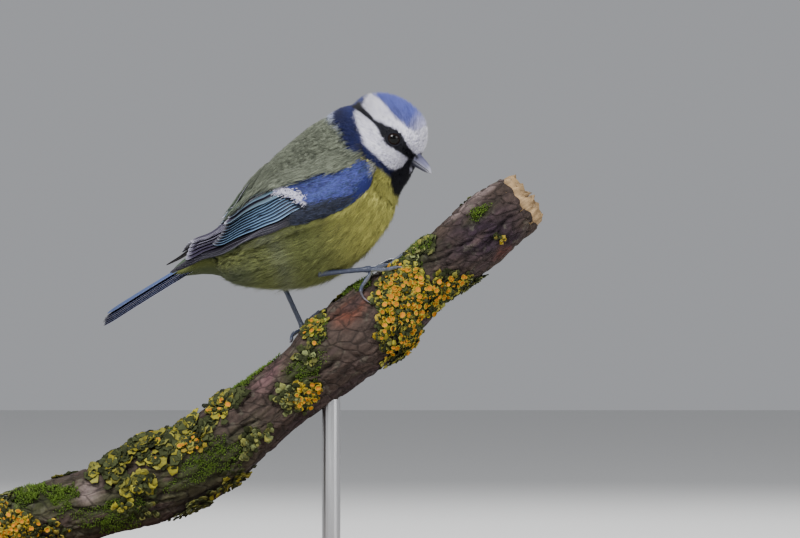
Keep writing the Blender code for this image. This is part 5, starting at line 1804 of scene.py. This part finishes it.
class BranchSettings(bpy.types.PropertyGroup):
    """Colours and fineness of the perch."""

    bark: colour_property("Bark", "Brown of the bark", (0.052, 0.036, 0.030))
    moss_bark: colour_property("Mossy bark", "Bark under green growth", (0.032, 0.038, 0.014))
    grey_bark: colour_property("Grey bark", "Bare grey-pink bark", (0.20, 0.15, 0.145))
    red_bark: colour_property("Red bark", "Peeled red-brown bark", (0.115, 0.040, 0.026))
    pink_bark: colour_property("Pink bark", "Pinkish bark", (0.12, 0.065, 0.070))
    dark_bark: colour_property("Dark bark", "Dark purple-brown bark", (0.026, 0.015, 0.024))
    wood: colour_property("Inner wood", "Pale torn wood", (0.42, 0.28, 0.15))
    yellow: colour_property("Yellow lichen", "Yellow-green lobes", (0.25, 0.22, 0.022))
    green: colour_property("Grey lichen", "Grey-green lobes", (0.145, 0.165, 0.065))
    orange: colour_property("Orange lichen", "Orange-yellow lobes", (0.36, 0.245, 0.012))
    cup: colour_property("Cups", "Orange cups", (0.46, 0.16, 0.008))
    moss: colour_property("Moss", "Green moss", (0.075, 0.125, 0.016))
    columns: number_property("Columns", "Bark faces round", 146, 24)
    rows: number_property("Rows", "Bark faces along", 390, 60)
    rough: length_property("Roughness", "Height of the bark's ridges", 0.0008)


def round_branch(frame_at, turn, reach, ahead=0.0):
    """The point at a turn and a reach from the axis, moved ahead along it."""
    centre, along, up, right, _ = frame_at
    angle = radians(turn)
    return centre + up * (reach * cos(angle)) + right * (reach * sin(angle)) + along * ahead


class Bark:
    """The surface of the branch, worked out row by row."""

    def __init__(self):
        self.places = np.linspace(0.0, BRANCH_END, 601)
        self.frames = [branch_frame(place) for place in self.places]

    def frame(self, place):
        return self.frames[int(round(min(max(place, 0.0), BRANCH_END) / BRANCH_END * 600))]

    def point(self, place, turn, lift=0.0):
        frame_at = self.frame(place)
        return round_branch(frame_at, turn, bark_radius(place, turn, frame_at[4]) + lift)

    def height(self, place, turn, radius, rough):
        """How far the rough bark stands off the smooth one."""
        angle = radians(turn)
        along = place * BRANCH_STEP
        spot = Vector((along * 0.11, radius * cos(angle) * 0.33, radius * sin(angle) * 0.33))
        broad = noise.fractal(spot * 0.8, 1.0, 2.0, 3)
        ridge = 1.0 - abs(noise.noise(spot * 2.1 + Vector((3.0, 7.0, 1.0)))) * 2.0
        plates = noise.voronoi(spot * 1.15)[0]
        split = min(1.0, (plates[1] - plates[0]) / 0.16)
        height = broad * 0.9 + ridge * 0.35 - (1.0 - split) * 0.9
        deep = 0.0
        for at, around, reach, drift, depth in BARK_CRACKS:
            away = (place - at) / reach
            if abs(away) < 1.2:
                middle = around + drift * away + 3.0 * sin(7 * place + around)
                off = ((turn - middle + 180.0) % 360.0 - 180.0) / 3.2
                deep += depth * exp(-off * off) * max(0.0, 1 - away * away)
                height += 0.5 * exp(-((off - 2.2) ** 2)) * max(0.0, 1 - away * away)
        return height * rough / MM * 0.75 - deep

    def tint(self, place, turn, height, settings):
        angle = radians(turn)
        tone = np.array(settings.bark)
        spot = Vector((place * 0.8, cos(angle) * 2.2, sin(angle) * 2.2))
        wander = noise.noise(spot * 1.7)
        for at, around, reach, wide, name in BARK_PATCHES:
            off = ((turn - around + 180.0) % 360.0 - 180.0) / wide
            share = 1.25 * exp(-(((place - at) / reach) ** 2) - off**2) + 0.45 * wander - 0.15
            share = min(1.0, max(0.0, share))
            tone = tone + (np.array(getattr(settings, name)) - tone) * share
        tone = tone * (0.85 + 0.5 * noise.noise(spot * 5.0 + Vector((4.0, 2.0, 9.0))))
        # The tone follows the bark's height: painted light on the ridges and painted shade in the hollows and
        # cracks
        return tone * min(1.3, max(0.3, 1.0 + height * 0.45))


class TIT_OT_branch(bpy.types.Operator):
    """Make the perch: bark, the sawn end and the snapped end with its torn wood"""

    bl_idname = "blue_tit.branch"
    bl_label = "Branch"

    def execute(self, context):
        settings = context.scene.tit_branch
        bark = Bark()
        columns, rows = settings.columns, settings.rows
        tints = {}

        def place_of(column, row):
            column = column % columns
            place = BRANCH_END * row / rows
            turn = 360.0 * column / columns
            frame_at = bark.frame(place)
            base = bark_radius(place, turn, frame_at[4])
            height = bark.height(place, turn, base, settings.rough)
            end = min(place, BRANCH_END - place) * BRANCH_STEP
            height = height if end > 1.0 else height * end - 0.35 * (1 - end)
            tints[column, row] = bark.tint(place, turn, height, settings)
            ragged = 1.6 * noise.noise(Vector((column * 0.11, 3.0, 1.0))) if row == rows else 0.0
            return round_branch(frame_at, turn, base + height, ragged)

        bm = new_form()
        wrap(bm, columns, rows, place_of, lambda column, row: tints[column % columns, row])
        material = painted("rough bark", bark_material)
        show(bm, "bark", material, ["perch_branch"])
        self.ends(settings, bark)
        return {"FINISHED"}

    def ends(self, settings, bark):
        """The sawn face at the low end and the torn wood at the high end."""
        wood = np.array(settings.wood)
        torn = painted("torn wood", splinter_material)
        bm = new_form()
        high_end, low_end = bark.frame(BRANCH_END), bark.frame(0.0)
        sawn_inward = (0.96, 0.94, 0.7, 0.4, 0.02)
        depths = (-1.5, 0.6, 1.6, 1.2, 1.9, 2.2, 1.5)
        inward = (0.97, 0.93, 0.84, 0.66, 0.45, 0.22, 0.02)

        def place_of(column, row):
            turn = 360.0 * (column % 120) / 120
            angle = radians(turn)
            reach = bark_radius(BRANCH_END, turn, high_end[4]) * inward[row]
            spike = noise.noise(Vector((cos(angle) * 3.4, sin(angle) * 3.4, inward[row] * 2.5)))
            fine = noise.noise(Vector((cos(angle) * 16, sin(angle) * 16, inward[row] * 9)))
            far = depths[row] + (2.8 * max(0.0, spike) + 1.5 * max(0.0, fine)) * (row > 0)
            return round_branch(high_end, turn, reach, far)

        def tint_of(column, row):
            angle = tau * column / 120
            streak = noise.noise(Vector((cos(angle) * 12, sin(angle) * 12, row * 0.7)))
            return wood * (0.75 + 0.55 * streak) * (0.55 if row == 0 else 1.0)

        wrap(bm, 120, len(depths) - 1, place_of, tint_of)

        def sawn(column, row):
            turn = 360.0 * (column % 120) / 120
            angle = radians(turn)
            reach = bark_radius(0.0, turn, low_end[4]) * sawn_inward[row]
            kerf = 0.12 * noise.noise(Vector((reach * cos(angle) * 1.5, reach * 0.1, 2.0)))
            far = (1.0, -0.12, -0.2, -0.24, -0.25)[row] + kerf * (row > 0)
            return round_branch(low_end, turn, reach, far)

        def sawn_tint(column, row):
            return wood * (0.62 + 0.2 * cos(sawn_inward[row] * 30)) * (0.6 if row < 2 else 1.0)

        wrap(bm, 120, 4, sawn, sawn_tint)
        show(bm, "cut_wood", torn)


# A lobe of lichen: two faces of three rows by three points, closed round its rim
LOBE_ROWS = ((0, 0.3), (0.4, 0.75), (0.78, 1), (1, 0.55))


def lobe_faces():
    faces = []
    rows = len(LOBE_ROWS)
    for r in range(rows - 1):
        for c in range(2):
            a = r * 3 + c
            faces.append((a, a + 1, a + 4, a + 3))
            faces.append((a + 12, a + 15, a + 16, a + 13))
    rim = [0, 1, 2, 5, 8, 11, 10, 9, 6, 3]
    for a, b in zip(rim, rim[1:] + rim[:1]):
        faces.append((a, a + 12, b + 12, b))
    return faces


def cup_faces(sides=8):
    """Rings from the foot over the rim to the floor of a cup, with its floor closed."""
    faces = []
    for ring in range(3):
        for k in range(sides):
            n = (k + 1) % sides
            a, b = ring * sides + k, ring * sides + n
            faces.append((a, b, b + sides, a + sides))
    faces.append(tuple(range(3 * sides, 4 * sides)))
    faces.append(tuple(reversed(range(sides))))
    return faces


class TIT_OT_growth(bpy.types.Operator):
    """Make the lichens, their cups and the moss on the branch"""

    bl_idname = "blue_tit.growth"
    bl_label = "Lichen and moss"

    def execute(self, context):
        settings = context.scene.tit_branch
        bark = Bark()
        rng = np.random.default_rng(31)
        crust = painted("lichen", lichen_material)
        lobes = Locks(lobe_faces())
        for patch in LICHEN_PATCHES:
            self.lobes(rng, bark, settings, lobes, *patch)
        show(lobes, "lichen_lobes", crust)
        cups = Locks(cup_faces())
        for patch in CUP_PATCHES:
            self.cups(rng, bark, settings, cups, *patch)
        show(cups, "lichen_cups", crust)
        strands = Locks(BARB_FACES)
        for patch in MOSS_PATCHES:
            self.moss(rng, bark, settings, strands, *patch)
        show(strands, "moss", crust)
        return {"FINISHED"}

    def scatter(self, rng, bark, place, turn, reach, wide, count, power=0.6):
        """Spots in a patch, thick in the middle: points, outward and along directions, place in the
        patch."""
        angle = rng.random(count) * tau
        far = rng.random(count) ** power * (0.8 + 0.25 * np.sin(angle * 3 + place) + 0.12 * np.sin(angle * 7))
        across = np.stack((far * np.cos(angle), far * np.sin(angle)), axis=1)
        points, ups, alongs, sides = [], [], [], []
        for x, y in across:
            here = place + x * reach / BRANCH_STEP
            radius = bark.frame(here)[4]
            around = turn + degrees(y * wide / radius)
            middle = bark.point(here, around)
            ahead = bark.point(here + 0.1, around) - middle
            beside = bark.point(here, around + 4) - middle
            ahead, beside = ahead / np.linalg.norm(ahead), beside / np.linalg.norm(beside)
            up = np.cross(beside, ahead)
            up /= np.linalg.norm(up)
            if up @ (middle - bark.frame(here)[0]) < 0:
                up = -up
            points.append(middle)
            ups.append(up)
            alongs.append(ahead)
            sides.append(beside)
        return np.array(points), np.array(ups), np.array(alongs), np.array(sides), across

    def lobes(self, rng, bark, settings, lobes, place, turn, reach, wide, count, size, hue):
        points, ups, alongs, sides, across = self.scatter(rng, bark, place, turn, reach, wide, count)
        tone = np.array(getattr(settings, hue))
        other = np.array(settings.green if hue != "green" else settings.yellow)
        far = np.linalg.norm(across, axis=1)
        aim = np.arctan2(across[:, 1], across[:, 0]) + rng.normal(0, 0.75, count)
        ahead = alongs * np.cos(aim)[:, None] + sides * np.sin(aim)[:, None]
        beside = np.cross(ups, ahead)
        length = size * (0.65 + 0.6 * rng.random(count)) * (0.75 + 0.35 * far)
        broad = length * (0.36 + 0.16 * rng.random(count))
        tilt = 0.12 + 0.5 * rng.random(count) * (1.1 - 0.5 * far)
        level = 0.25 + 0.9 * (1 - far) * rng.random(count)
        shape = np.empty((count, 24, 3))
        tints = np.empty((count, 24, 3))
        share = np.clip(0.65 * rng.random(count) - 0.12, 0, 1)[:, None]
        colour = (tone + (other - tone) * share) * (0.45 + 0.85 * rng.random((count, 1)))
        shade = np.array(settings.moss_bark) * (0.4 + 1.3 * rng.random((count, 1)))
        colour = np.where(rng.random((count, 1)) < 0.62, shade, colour)
        for r, (v, w) in enumerate(LOBE_ROWS):
            for c, u in enumerate((-1, 0, 1)):
                curl = 0.22 * abs(u) + 0.3 * v * v
                rise = level + length * (v * tilt * 0.6 + curl * 0.35) * (1 if v > 0 else 0.4)
                bend = v if c == 1 else v * (1 - 0.12 * (r == 3))
                spot = points + ahead * (length * (bend - 0.35))[:, None]
                spot = spot + beside * (broad * w * u * (0.8 + 0.4 * rng.random(count)))[:, None]
                shape[:, r * 3 + c] = spot + ups * rise[:, None]
                shape[:, 12 + r * 3 + c] = spot + ups * (rise - 0.16)[:, None]
                # light paints each lobe lighter towards its raised tip and rims, as painted light; the underside
                # takes 0.55 of it, as painted shade
                light = 0.72 + 0.38 * v + 0.16 * abs(u)
                tints[:, r * 3 + c] = colour * light
                tints[:, 12 + r * 3 + c] = colour * light * 0.55
        spots = np.zeros((count, 24, 2))
        base = np.stack((0.5 + across[:, 0] * 0.2, 0.5 + across[:, 1] * 0.2), axis=1)
        flat = np.array([(u * 0.3, v) for v, _ in LOBE_ROWS for u in (-1, 0, 1)] * 2)
        spots[:] = base[:, None] + flat[None] * PATCH
        lobes.add(shape, np.clip(tints, 0, 1), spots)

    def cups(self, rng, bark, settings, cups, place, turn, reach, wide, count, size):
        points, ups, alongs, _, across = self.scatter(rng, bark, place, turn, reach, wide, count, 0.5)
        lean = along_rows(ups + 0.35 * rng.normal(0, 1, (count, 3)))
        first = along_rows(np.cross(lean, alongs))
        second = np.cross(lean, first)
        size = size * (0.5 + 0.8 * rng.random(count))
        level = 0.9 + 0.8 * rng.random(count)
        shape = np.empty((count, 32, 3))
        tints = np.empty((count, 32, 3))
        orange = np.array(settings.cup) * (0.7 + 0.6 * rng.random((count, 1)))
        rim_tone = np.array(settings.yellow) * (0.8 + 0.5 * rng.random((count, 1)))
        # The cup's foot is painted at 0.6 as shade under the cup, and its raised lip at 1.15 as a painted highlight
        profile = (
            (0.35, -0.9, rim_tone * 0.6), (0.95, 0.1, rim_tone), (0.84, 0.24, rim_tone * 1.15), (0.72, 0.02, orange)
        )
        for ring, (wide_at, high, tone) in enumerate(profile):
            for k in range(8):
                angle = tau * k / 8
                wobble = 1 + 0.12 * rng.normal(0, 1, count) * (ring > 0)
                out = first * cos(angle) + second * sin(angle)
                shape[:, ring * 8 + k] = (
                    points + lean * (level + high * size * 0.6)[:, None] + out * (size * wide_at * wobble)[:, None]
                )
                tints[:, ring * 8 + k] = tone
        spots = np.zeros((count, 32, 2))
        flat = np.array([(cos(k) * 0.5, sin(k) * 0.5) for k in range(32)])
        spots[:] = 0.5 + across[:, None] * 0.2 + flat[None] * PATCH
        cups.add(shape, np.clip(tints, 0, 1), spots)

    def moss(self, rng, bark, settings, strands, place, turn, reach, wide, count, length):
        points, ups, alongs, _, across = self.scatter(rng, bark, place, turn, reach, wide, count, 0.55)
        lean = along_rows(ups + 0.55 * rng.normal(0, 1, (count, 3)))
        length = length * (0.6 + 0.7 * rng.random((count, 1)))
        middle = points + lean * length * 0.5
        tip = middle + along_rows(lean + 0.6 * rng.normal(0, 1, (count, 3))) * length * 0.5
        shape = barbs(points - ups * 0.3, middle, tip, along_rows(np.cross(lean, alongs)), np.full(count, 0.26))
        tone = np.array(settings.moss) * (0.6 + 0.9 * rng.random((count, 1)))
        # Moss strands darken towards the root as painted shade within the tuft and lighten at the tip
        tints = tone[:, None, :] * np.array((0.4, 0.4, 0.4, 0.9, 0.9, 0.9, 1.5))[None, :, None]
        spots = np.stack((0.5 + across[:, 0] * 0.2, 0.5 + across[:, 1] * 0.2), axis=1)
        strands.add(shape, np.clip(tints, 0, 1), strand_spots(spots, np.zeros(count)))


class FaceSettings(bpy.types.PropertyGroup):
    """Colours and sizes of the bare parts."""

    iris: colour_property("Iris", "Dark brown of the iris", (0.008, 0.004, 0.003))
    lid: length_property("Eyelid", "Thickness of the eyelid's rim", 0.00022)
    bill: colour_property("Bill", "Violet-grey of the bill", (0.115, 0.115, 0.19))
    # The lower half's dark grey is darkened further as painted shadow under the bill
    bill_dark_and_shade: colour_property("Lower bill", "Dark grey of the lower half", (0.035, 0.036, 0.06))
    bill_tip: colour_property("Bill tip", "Pale horn of the tip and cutting edges", (0.42, 0.42, 0.46))
    leg: colour_property("Legs", "Blue-grey of the legs and toes", (0.026, 0.032, 0.056))
    leg_pale: colour_property("Leg scales", "Pale edges of the scales", (0.07, 0.085, 0.135))
    claw: colour_property("Claws", "Dark horn of the claws", (0.045, 0.042, 0.05))


class StageSettings(bpy.types.PropertyGroup):
    """Camera and light."""

    lens: bpy.props.FloatProperty(
        name="Lens", description="Length of the lens", default=0.3309, unit="CAMERA", min=0.001
    )
    key: power_property("Key", "Power of the main light", 20)
    fill: power_property("Fill", "Power of the fill light", 6)
    floor: colour_property("Floor", "Pale floor", (0.72, 0.72, 0.71))
    world: bpy.props.FloatProperty(
        name="Surroundings", description="Strength of the light all round", default=0.38, min=0
    )


class TIT_OT_stand(bpy.types.Operator):
    """Finish the stand's base and its two rods"""

    bl_idname = "blue_tit.stand"
    bl_label = "Stand"

    def execute(self, context):
        finishes = {
            "stand_base": painted("oiled wood", base_wood_material),
            "stand_rod_low": painted("brushed steel", rod_steel_material),
            "stand_rod_high": painted("brushed steel", rod_steel_material)
        }
        for name, material in finishes.items():
            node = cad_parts[name]
            if not node.material_slots:
                node.data.materials.append(material)
            for slot in node.material_slots:
                slot.material = material
        return {"FINISHED"}


def floor_material(name):
    """Matt pale paper."""
    paint = Paint(name, roughness=0.9, specular=0.2)
    grain = paint.noise(300, 3)
    base = bpy.context.scene.tit_stage.floor
    dark = tuple(c * 0.97 for c in base)
    return paint.set(Base_Color=paint.mix(grain, dark, tuple(base)))


class TIT_OT_stage(bpy.types.Operator):
    """Set the pale floor, the soft lights and the camera"""

    bl_idname = "blue_tit.stage"
    bl_label = "Stage"

    def execute(self, context):
        scene = context.scene
        settings = scene.tit_stage
        bm = bmesh.new()
        bmesh.ops.create_grid(bm, x_segments=8, y_segments=8, size=3)
        floor = bpy.data.objects.new("floor", to_mesh(bm, "floor"))
        floor.data.materials.append(painted("pale floor", floor_material))
        scene.collection.objects.link(floor)
        self.lamp("key light", (-0.35, -0.75, 0.85), 0.55, settings.key)
        self.lamp("fill light", (0.85, -0.6, 0.45), 0.6, settings.fill)
        self.lamp("back light", (0.1, 0.8, 0.7), 0.5, settings.fill)
        world = bpy.data.worlds.new("studio")
        world.use_nodes = True
        sky = world.node_tree.nodes["Background"]
        sky.inputs["Color"].default_value = (0.93, 0.95, 1, 1)
        sky.inputs["Strength"].default_value = settings.world
        scene.world = world
        camera = bpy.data.cameras.new("camera")
        camera.sensor_width = 36
        camera.lens = settings.lens / MM
        camera.clip_end = 20
        eye = bpy.data.objects.new("camera", camera)
        eye.location = (0.03672, -2, 0.096)
        eye.rotation_euler = (radians(90), 0, 0)
        scene.collection.objects.link(eye)
        scene.camera = eye
        return {"FINISHED"}

    def lamp(self, name, place, size, power):
        light = bpy.data.lights.new(name, "AREA")
        light.shape = "DISK"
        light.size = size
        light.energy = power
        lamp = bpy.data.objects.new(name, light)
        lamp.location = place
        aim = Vector((0, 0, 0.09)) - Vector(place)
        lamp.rotation_euler = aim.to_track_quat("-Z", "Y").to_euler()
        bpy.context.scene.collection.objects.link(lamp)


class TIT_PT_panel(bpy.types.Panel):
    """Every piece of the model, in the order of making"""

    bl_idname = "TIT_PT_panel"
    bl_label = "Blue Tit"
    bl_space_type = "VIEW_3D"
    bl_region_type = "UI"
    bl_category = "Blue Tit"

    def draw(self, context):
        for operator in OPERATORS:
            self.layout.operator(operator.bl_idname)
        for group in SETTINGS:
            for name in SETTINGS[group].__annotations__:
                self.layout.prop(getattr(context.scene, group), name)


OPERATORS = (
    TIT_OT_plumage, TIT_OT_eyes, TIT_OT_bill, TIT_OT_wings, TIT_OT_tail, TIT_OT_feet, TIT_OT_branch, TIT_OT_growth,
    TIT_OT_stand, TIT_OT_stage
)
SETTINGS = {
    "tit_colours": PlumageColours, "tit_sizes": PlumageSizes, "tit_face": FaceSettings,
    "tit_branch": BranchSettings, "tit_stage": StageSettings
}


def register():
    for kind in (*SETTINGS.values(), *OPERATORS, TIT_PT_panel):
        bpy.utils.register_class(kind)
    for name, kind in SETTINGS.items():
        setattr(bpy.types.Scene, name, bpy.props.PointerProperty(type=kind))


def unregister():
    for name in SETTINGS:
        delattr(bpy.types.Scene, name)
    for kind in reversed((*SETTINGS.values(), *OPERATORS, TIT_PT_panel)):
        bpy.utils.unregister_class(kind)


def main():
    register()
    bpy.ops.blue_tit.plumage()
    bpy.ops.blue_tit.eyes()
    bpy.ops.blue_tit.bill()
    bpy.ops.blue_tit.wings()
    bpy.ops.blue_tit.tail()
    bpy.ops.blue_tit.feet()
    bpy.ops.blue_tit.branch()
    bpy.ops.blue_tit.growth()
    bpy.ops.blue_tit.stand()
    bpy.ops.blue_tit.stage()


if __name__ == "__main__":
    main()
